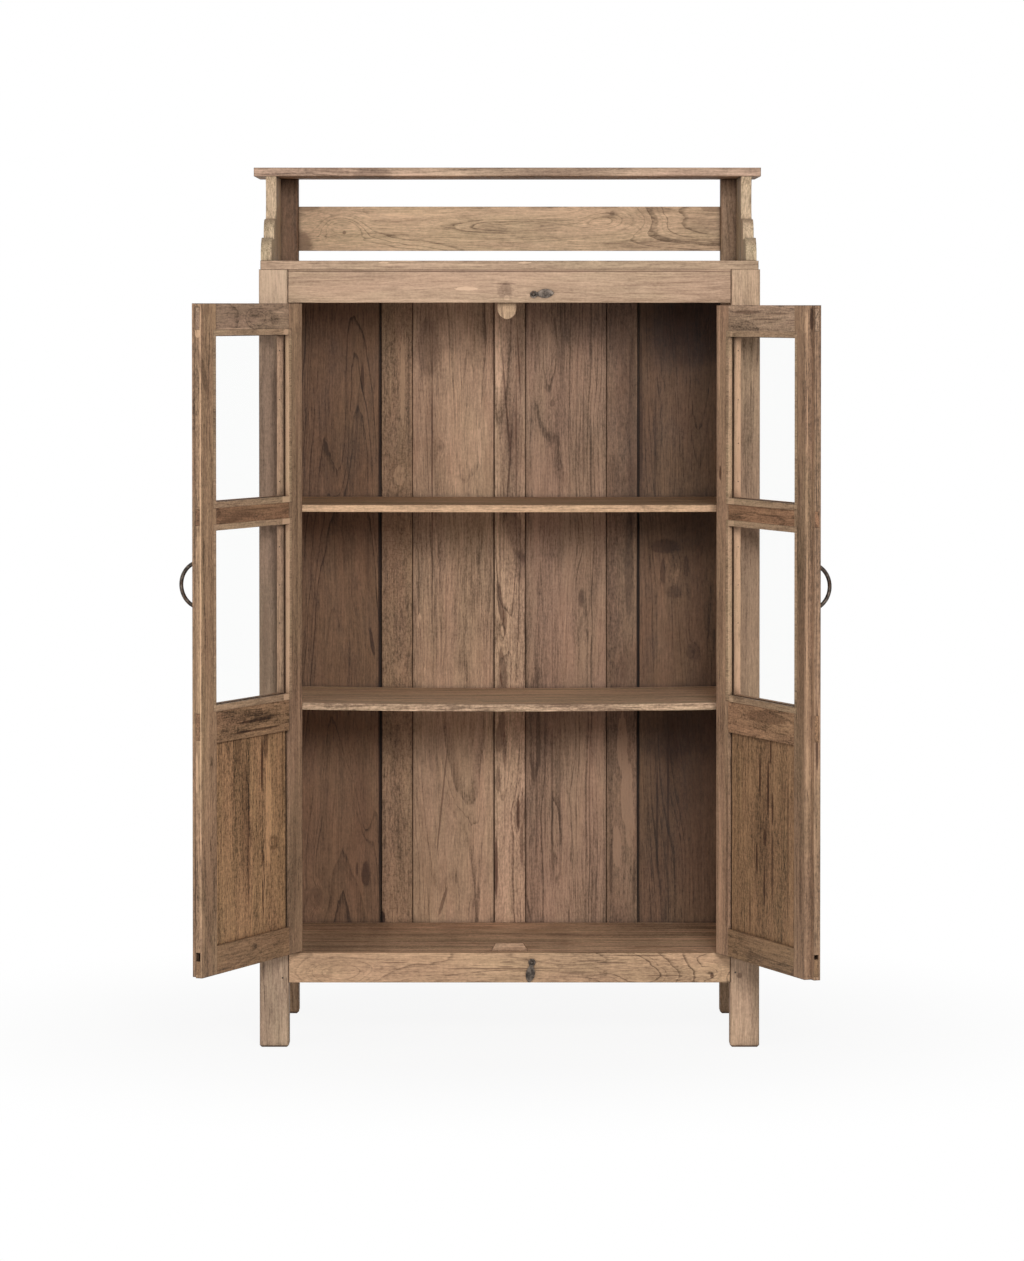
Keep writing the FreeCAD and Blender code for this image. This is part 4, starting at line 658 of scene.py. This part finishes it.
SCRAPES = {
    "back_batten_1": [(-0.207, 1.226, 0.0058, 0.101, 0.9), (-0.213, 1.044, 0.0136, 0.0233, 0.8),
        (-0.197, 0.954, 0.0039, 0.0272, 0.7), (-0.209, 0.906, 0.0078, 0.0311, 0.5),
        (-0.213, 0.667, 0.0155, 0.0233, 0.7), (-0.199, 0.294, 0.0058, 0.0583, 0.5)],
    "back_board_2": [(-0.057, 1.178, 0.0058, 0.136, 0.55), (-0.174, 0.76, 0.0058, 0.0194, 0.6),
        (-0.067, 1.09, 0.0155, 0.0583, 0.35), (-0.17, 0.663, 0.0194, 0.0097, 0.5)],
    "back_batten_2": [(-0.024, 1.265, 0.0058, 0.0971, 0.3), (0.011, 0.624, 0.0155, 0.0777, 0.35),
        (-0.003, 0.216, 0.0233, 0.0583, 0.35)],
    "back_batten_3": [(0.219, 0.527, 0.0117, 0.0661, 0.9), (0.228, 0.43, 0.0136, 0.0777, 1),
        (0.209, 0.323, 0.0097, 0.0466, 1), (0.234, 0.371, 0.0097, 0.0583, 0.9),
        (0.224, 0.245, 0.0175, 0.0583, 0.6), (0.203, 0.41, 0.0058, 0.0777, 0.6)],
    "back_board_4": [(0.323, 0.853, 0.0097, 0.0233, 0.7), (0.308, 0.877, 0.0097, 0.0155, 0.5)],
    "back_board_3": [(0.069, 1.32, 0.0097, 0.0389, 0.4), (0.11, 1.265, 0.0058, 0.0583, 0.3)],
    "front_top_rail": [(-0.079, 1.404, 0.0259, 0.0041, 1), (-0.014, 1.402, 0.0093, 0.013, 0.5)],
    "case_top_board": [(-0.232, 1.452, 0.0111, 0.0022, 0.9), (0.029, 1.452, 0.0148, 0.0022, 0.9),
        (0.352, 1.444, 0.0925, 0.0028, 0.5)],
    "left_door_meeting_stile": [(-0.554, 0.545, 0.0028, 0.0427, 0.9),
        (-0.552, 1.328, 0.0053, 0.0142, 0.8), (-0.556, 1.114, 0.0036, 0.2133, 0.4),
        (-0.551, 0.242, 0.0036, 0.0712, 0.6)],
    "left_door_hinge_stile": [(-0.396, 1.348, 0.013, 0.0297, 0.5),
        (-0.394, 0.101, 0.0093, 0.0371, 0.5)],
    "left_door_panel": [(-0.443, 0.465, 0.0073, 0.1099, 0.6),
        (-0.447, 0.32, 0.0055, 0.0732, 0.7)],
    "right_door_meeting_stile": [(0.522, 1.345, 0.0072, 0.0252, 0.7),
        (0.531, 0.548, 0.0054, 0.0538, 0.8), (0.545, 1.345, 0.0107, 0.0286, 0.5),
        (0.55, 0.489, 0.0054, 0.214, 0.3)],
    "right_door_top_rail": [(0.49, 1.341, 0.029, 0.0109, 0.3)],
    "right_door_panel": [(0.464, 0.488, 0.0219, 0.1094, 0.4)],
}

SPOT_EDGE = 1.1             # where an oval ends, in its own half widths
SPOT_INNER = {"faint": 0.3, "strong": 0.7}      # where it starts to fade
STRONG_SPOT = 0.25
SPOT_NOISE = (1.4, 4.0, 0.65)
SPOT_RAGGED = 1.1
EYE_SPAN = (0.10, 0.60)     # in sizes of the knot
NATURAL_BASE = 2.718
GRAIN_PLACES = 20           # metres of grain to take a board from
PITH_SIDEWAYS = 0.5         # share of half the width
PITH_DEPTH = (0.03, 0.09)   # metres behind the face
BROAD_SHARE = 0.7           # what lies nearer the middle than this is a tongue or tenon
LIGHTEN, DARKEN, WORN_PALE = 0.62, 0.72, 1.75
COOL, WARM = 0.985, 1.10
SOFT_RADIUS = 0.0024
GRAIN_BUMP = (0.5, 0.0012)  # strength and distance
TEAK_SPECULAR = 0.35


def spots(w, where, marks):
    """The sum of uneven ovals, looked at from the front. Faint ones have soft edges."""
    total = 0.0
    for x, z, half_x, half_z, strength, *lean in marks:
        near = where - (x, 0.0, z)
        slant = lean[0] if lean else 0.0
        near = w.join(w.vector("DOT_PRODUCT", near, (1 / half_x, 0.0, -slant / half_x)), 0.0,
                      w.vector("DOT_PRODUCT", near, (0.0, 0.0, 1 / half_z)))
        ragged = w.noise(near, *SPOT_NOISE, colour=True) - (0.5, 0.5, 0.5)
        near = near + ragged * (SPOT_RAGGED, 0.0, SPOT_RAGGED)
        inner = SPOT_INNER["strong" if abs(strength) > STRONG_SPOT else "faint"]
        total = w.span(w.vector("LENGTH", near), inner, SPOT_EDGE, strength, 0.0) + total
    return total


def swirls(w, local, places, thin):
    """Bulges that bend the rings round knots and arches: how far, and how dark an eye is."""
    push, eye = 0.0, 0.0
    for spot, size, stretch, dark in places:
        flat = [stretch / size, 1 / size, 1 / size]
        flat[thin] = 0.0
        near = w.vector("LENGTH", (local - spot) * flat)
        push = w.math("POWER", NATURAL_BASE, near * near * -0.5) * size + push
        if dark:
            eye = w.math("MAXIMUM", w.span(near, *EYE_SPAN, dark, 0.0), eye)
    return w.join(0.0, push, 0.0) if thin == 1 else w.join(0.0, 0.0, push), eye


def board_frame(node, turn):
    """A board in its own turned axes: its middle, half its size, which axis it is thin along,
    and the middle and half length of the part between its shoulders."""
    turned = Euler(turn).to_matrix()
    points = [turned @ vertex.co for vertex in nodes[node].data.vertices]
    low = Vector(min(point[i] for point in points) for i in range(3))
    high = Vector(max(point[i] for point in points) for i in range(3))
    centre, half = (low + high) / 2, (high - low) / 2
    thin = 1 if half.y < half.z else 2
    full = [point.x - centre.x for point in points
            if abs(point[thin] - centre[thin]) > BROAD_SHARE * half[thin]]
    return centre, half, thin, (min(full) + max(full)) / 2, (max(full) - min(full)) / 2


def bump(w, height, strength, distance, normal=None):
    node = w.put(w.add("Bump"), {"Strength": strength, "Distance": distance, "Height": height})
    if normal:
        w.put(node, {"Normal": normal})
    return w.out(node)


def wood(node, grain, seed, mean, contrast=1.0, **numbers):
    """Teak for one board. grain is an axis, or a turn about Z for a piece of an open door."""
    rng = random.Random(seed)
    turn = GRAIN_TURNS[grain] if isinstance(grain, str) else (0.0, 0.0, grain)
    centre, half, thin, shoulder_middle, shoulder_half = board_frame(node, turn)
    # The pith lies behind the broad face of the board.
    pith_depth = rng.uniform(*PITH_DEPTH)
    offset = Vector((rng.uniform(-GRAIN_PLACES, GRAIN_PLACES), 0.0, 0.0))
    offset[3 - thin] = rng.uniform(-PITH_SIDEWAYS, PITH_SIDEWAYS) * half[3 - thin]
    offset[thin] = pith_depth
    material = bpy.data.materials.new(node)
    material.use_nodes = True
    w = Wires(material.node_tree)
    source = w.add("TexCoord")
    front = w.out(source, "Object")
    local = w.out(w.put(w.add("Mapping"), {"Vector": front, "Rotation": turn, "Location": -centre}))
    facing = w.put(w.add("Mapping", vector_type="VECTOR"),
                   {"Vector": w.out(source, "Normal"), "Rotation": turn})
    middle = srgb(*mean)
    teak = w.put(w.add("Group", node_tree=TEAK), {
        "Local": local, "Facing": w.out(facing), "Offset": offset,
        "Light": shade(middle, 1 + LIGHTEN * contrast, COOL), "Middle": middle,
        "Dark": shade(middle, 1 - DARKEN * contrast, WARM), "Worn": shade(middle, WORN_PALE, COOL),
        "Shoulder_Middle": shoulder_middle, "Shoulder_Half": shoulder_half,
        **TEAK_NUMBERS, **numbers})
    # The marks hold painted shade and highlights as well as real marks.
    for socket, table in (("Mark_And_Painted_Light", MARKS_AND_PAINTED_LIGHT), ("Scrape", SCRAPES)):
        if node in table:
            w.put(teak, {socket: spots(w, front, table[node])})
    if node in KNOTS:
        places = []
        for x, z, *form in KNOTS[node]:
            depth = 0.0
            if grain != "Z":
                depth = (centre.y - math.sin(turn[2]) * x) / math.cos(turn[2])
            places.append((Euler(turn).to_matrix() @ Vector((x, depth, z)) - centre, *form))
        push, eye = swirls(w, local, places, thin)
        w.put(teak, {"Push": push, "Eye": eye})
    soft = w.put(w.add("Bevel", samples=RAY_SAMPLES), {"Radius": SOFT_RADIUS})
    w.put(w.tree.nodes["Principled BSDF"], {
        "Base Color": w.out(teak, "Color"), "Roughness": w.out(teak, "Roughness"),
        "Normal": bump(w, w.out(teak, "Height"), *GRAIN_BUMP, w.out(soft)),
        "Specular IOR Level": TEAK_SPECULAR})
    return material


IRON_DENTS = (160.0, 3.0, 0.6)      # scale, detail and roughness of the noise
IRON_RUST = (60.0, 5.0, 0.7)
# Where the dents' and the rust's tones start and end, then what they are worth at both.
DENT_SPAN = (0.35, 0.7)
RUST_SPAN = (0.56, 0.72, 0.0, 0.6)
IRON_ROUGHNESS = (0.3, 0.7, 0.38, 0.66)
IRON_COLOURS = (srgb(46, 39, 34), srgb(102, 91, 82))
RUST_COLOUR = srgb(92, 60, 40)
IRON_BUMP = (0.6, 0.0008)           # strength and distance
IRON_METALLIC = 0.75
GLASS_TINT = (0.997, 1.0, 0.998, 1.0)
GLASS_ROUGHNESS = 0.02
GLASS_IOR = 1.14


def iron_material():
    """Dark forged iron, hammered and rubbed a little bright."""
    material = bpy.data.materials.new("forged_iron")
    material.use_nodes = True
    w = Wires(material.node_tree)
    where = w.out(w.add("TexCoord"), "Object")
    dents = w.noise(where, *IRON_DENTS)
    rust = w.noise(where, *IRON_RUST)
    colour = w.mix(w.span(dents, *DENT_SPAN), *IRON_COLOURS)
    w.put(w.tree.nodes["Principled BSDF"], {
        "Base Color": w.mix(w.span(rust, *RUST_SPAN), colour, RUST_COLOUR),
        "Roughness": w.span(rust, *IRON_ROUGHNESS),
        "Metallic": IRON_METALLIC, "Normal": bump(w, dents, *IRON_BUMP)})
    return material


def glass_material():
    """Thin clear glass. Only the face that a ray meets from outside reflects."""
    material = bpy.data.materials.new("pane_glass")
    w = emptied(material)
    clear = w.put(w.add("BsdfTransparent"), {"Color": GLASS_TINT})
    gloss = w.put(w.add("BsdfGlossy"), {"Roughness": GLASS_ROUGHNESS})
    fresnel = w.out(w.put(w.add("Fresnel"), {"IOR": GLASS_IOR}))
    shine = fresnel * (1.0 - w.out(w.add("NewGeometry"), "Backfacing"))
    w.put(w.add("OutputMaterial"), {"Surface": w.blend_shaders(shine, w.out(clear), w.out(gloss))})
    return material


DOOR_TURNS = {
    "left": math.radians(joints["left_door_hinge"]["range_deg"][1]),
    "right": math.radians(joints["right_door_hinge"]["range_deg"][0]),
}

# Grain axis, mean colour and what is special about each piece.
FINISHES = {
    # The front posts' upper ends are painted paler, as lit above the open doors' shadow.
    "front_left_post": ("Z", (165, 140, 118), dict(
        Stain=0.15, Weather=0.3, Dry=0.4, Taper=0.02, Figure=0.35, Painted_Lit_Top=0.50, Painted_Lit_Top_At=0.64)),
    "front_right_post": ("Z", (176, 148, 123), dict(
        Stain=0.1, Weather=0.3, Dry=0.4, Taper=0.02, Figure=0.35, Painted_Lit_Top=0.14, Painted_Lit_Top_At=0.60)),
    "rear_left_post": ("Z", (172, 140, 112), dict(Figure=0.7)),
    "rear_right_post": ("Z", (190, 160, 132), dict(Figure=0.5)),
    "front_top_rail": ("X", (181, 152, 127), dict(
        contrast=0.75, Figure=0.4, Stain=0.15, Weather=0.3, Dry=0.4, Taper=0.012)),
    "front_bottom_rail": ("X", (182, 149, 119), dict(
        Figure=1.15, Rings=190.0, Taper=0.03, Stain=0.25, Weather=0.3)),
    "rear_top_rail": ("X", (140, 112, 90), {}),
    "rear_bottom_rail": ("X", (140, 112, 90), {}),
    "left_side_top_rail": ("Y", (168, 138, 112), {}),
    "left_side_bottom_rail": ("Y", (168, 138, 112), {}),
    "right_side_top_rail": ("Y", (168, 138, 112), {}),
    "right_side_bottom_rail": ("Y", (168, 138, 112), {}),
    "left_side_panel": ("Z", (152, 122, 96), dict(Figure=0.8)),
    "right_side_panel": ("Z", (152, 122, 96), dict(Figure=0.8)),
    "case_top_board": ("X", (177, 150, 125), dict(
        contrast=0.85, Stain=0.3, Weather=0.3, Figure=0.5, Taper=0.01)),
    # The shelves and the bottom board are paler than the wood partly as painted light on their
    # tops; their fronts are painted lighter or darker than the tops.
    "bottom_board": ("X", (196, 163, 133), dict(
        Stain=1.0, Streak=1.6, Blotch=1.5, Weather=0.8, Taper=0.01, Figure=0.8)),
    "upper_shelf": ("X", (188, 155, 123), dict(Taper=0.008, Figure=0.5, Streak=1.1, Edge=0.12)),
    "lower_shelf": ("X", (212, 180, 150), dict(Taper=0.008, Figure=0.5, Streak=1.1, Edge=-0.2)),
    "shelf_cleats": ("Y", (120, 92, 70), {}),
    "back_board_1": ("Z", (126, 95, 72), dict(Figure=1.4, Taper=-0.05, Stain=0.2, Weather=0.35)),
    "back_board_2": ("Z", (177, 145, 119), dict(
        Figure=0.9, Taper=0.03, Stain=0.4, Blotch=1.2, Weather=0.4)),
    "back_board_3": ("Z", (160, 129, 107), dict(
        Figure=1.2, Taper=0.012, Stain=0.3, Blotch=1.2, Weather=0.35)),
    # Board 4's colour is partly its own darker wood and partly painted shade from the case's right
    # side.
    "back_board_4": ("Z", (116, 88, 67), dict(Figure=0.9, Taper=0.04, Stain=0.3, Weather=0.4)),
    "back_batten_1": ("Z", (151, 121, 96), dict(
        Weather=1.0, Figure=0.3, Dry=0.5, Saw=0.7, Chips=0.4)),
    "back_batten_2": ("Z", (188, 155, 129), dict(Weather=0.6, Figure=1.0, Dry=0.3, Saw=0.4)),
    "back_batten_3": ("Z", (130, 103, 83), dict(
        Weather=0.7, Figure=0.3, Dry=0.4, Stain=0.4, Saw=0.3)),
    "gallery_back_board": ("X", (204, 175, 144), dict(
        Figure=1.0, Taper=0.045, Rings=150.0, Weather=0.15, Stain=0.1, Dry=0.15)),
    "left_gallery_bracket": ("Z", (203, 179, 149), dict(Weather=0.4)),
    "right_gallery_bracket": ("Z", (203, 179, 149), dict(Weather=0.4)),
    "gallery_shelf": ("X", (182, 153, 131), dict(Blotch=1.4, Stain=0.3, Weather=0.4, Taper=0.01)),
    "upper_door_stop": ("Z", (176, 146, 118), {}),
    "lower_door_stop": ("X", (176, 146, 118), {}),
}
DOOR_FINISHES = {
    "hinge_stile": ((162, 131, 106), dict(Figure=0.4, Taper=0.01, contrast=1.15, Chips=0.3)),
    "meeting_stile": ((162, 131, 104), dict(Figure=0.5, Taper=0.015, contrast=1.2, Chips=0.3)),
    "top_rail": ((168, 140, 118), dict(Figure=0.9, Taper=0.05, contrast=1.15, Chips=0.3)),
    "middle_rail": ((148, 113, 86), dict(Figure=0.7, Taper=0.03, contrast=1.15, Chips=0.2)),
    "lock_rail": ((155, 121, 93), dict(
        Figure=0.7, Weather=0.8, Taper=0.03, contrast=1.15, Chips=0.2)),
    "bottom_rail": ((150, 119, 90), dict(Figure=0.6, contrast=1.15, Chips=0.2)),
    "panel": ((158, 123, 91), dict(
        Figure=0.6, Weather=0.9, Taper=0.03, contrast=1.3, Chips=0.3)),
    "glazing_beads": ((178, 149, 121), dict(Figure=0.2)),
}
# How much lighter or darker some boards of one door are.
DOOR_TONES = {
    "left_door_hinge_stile": 0.97, "right_door_hinge_stile": 1.045,
    "left_door_meeting_stile": 1.04, "right_door_meeting_stile": 0.95,
    "left_door_top_rail": 0.975, "right_door_top_rail": 1.055,
    "right_door_middle_rail": 1.045, "right_door_lock_rail": 1.055,
    "left_door_panel": 1.06, "right_door_panel": 0.94,
}
IRON = iron_material()
GLASS = glass_material()
FIRST_SEED = 101


def finish(node, seed):
    """The material of a node, by its name."""
    if node.endswith("pane"):
        return GLASS
    if "latch" in node or "handle" in node or "hinge_leaves" in node:
        return IRON
    if node in FINISHES:
        grain, mean, extra = FINISHES[node]
        return wood(node, grain, seed, mean, **extra)
    side, part = node.split("_door_")
    grain = "Z" if "stile" in part or part == "panel" else DOOR_TURNS[side]
    mean, extra = DOOR_FINISHES[part]
    return wood(node, grain, seed, [c * DOOR_TONES.get(node, 1.0) for c in mean], **extra)


for seed, node in enumerate(sorted(nodes), FIRST_SEED):
    materials = nodes[node].data.materials
    materials.clear()
    materials.append(finish(node, seed))


# Nails

DOME = ((1.0, -0.3), (0.97, 0.12), (0.75, 0.34), (0.4, 0.46))   # width and height by the radius
DOME_TOP = 0.5
DOME_SIDES = 10
CASE_NAILS = ((-0.420, -0.2501, 0.1286), (0.418, -0.2501, 0.1388))
CASE_NAIL_RADIUS, DOOR_PIN_RADIUS = 0.0017, 0.0011
HINGE_X, HINGE_Y = 0.4077, -0.2525      # the pins that a door swings on
PIN_ALONG, PIN_INWARD = 0.0563, 0.0084  # from the hinge: the edge of the lights, into the lip
PIN_HEIGHTS = (0.79, 0.86, 0.93, 1.05, 1.12, 1.20, 1.29)


def nail_heads(name, places, way, radius, body):
    """Low iron domes, each a little sunk, at given places and facing one way."""
    turn = Vector(way).to_track_quat("Z", "Y")
    angles = [2 * math.pi * i / DOME_SIDES for i in range(DOME_SIDES)]
    mesh = bmesh.new()

    def corner(place, x, y, z):
        off = turn @ Vector((radius * x, radius * y, radius * z))
        return mesh.verts.new(Vector(place) + off)

    for place in places:
        rings = [[corner(place, share * math.cos(a), share * math.sin(a), rise) for a in angles]
                 for share, rise in DOME]
        top = corner(place, 0.0, 0.0, DOME_TOP)
        for low, high in zip(rings, rings[1:]):
            for i in range(DOME_SIDES):
                after = (i + 1) % DOME_SIDES
                mesh.faces.new((low[i], low[after], high[after], high[i]))
        for i in range(DOME_SIDES):
            mesh.faces.new((rings[-1][i], rings[-1][(i + 1) % DOME_SIDES], top))
    data = bpy.data.meshes.new(name)
    mesh.to_mesh(data)
    mesh.free()
    for face in data.polygons:
        face.use_smooth = True
    piece = bpy.data.objects.new(name, data)
    scene.collection.objects.link(piece)
    data.materials.append(IRON)
    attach(piece, body)


nail_heads("case_nails", CASE_NAILS, (0, -1, 0), CASE_NAIL_RADIUS, "case")
for side, hand in (("left", 1), ("right", -1)):
    # Pins in the lip of the lights, on the hinge stile.
    swung = math.pi - abs(DOOR_TURNS[side])
    along = Vector((-math.cos(swung) * hand, -math.sin(swung), 0.0))
    inward = Vector((-along.y * hand, along.x * hand, 0.0))
    foot = Vector((-HINGE_X * hand, HINGE_Y, 0.0)) + along * PIN_ALONG + inward * PIN_INWARD
    nail_heads(side + "_door_pins", [foot + Vector((0, 0, z)) for z in PIN_HEIGHTS], along,
               DOOR_PIN_RADIUS, side + "_door")
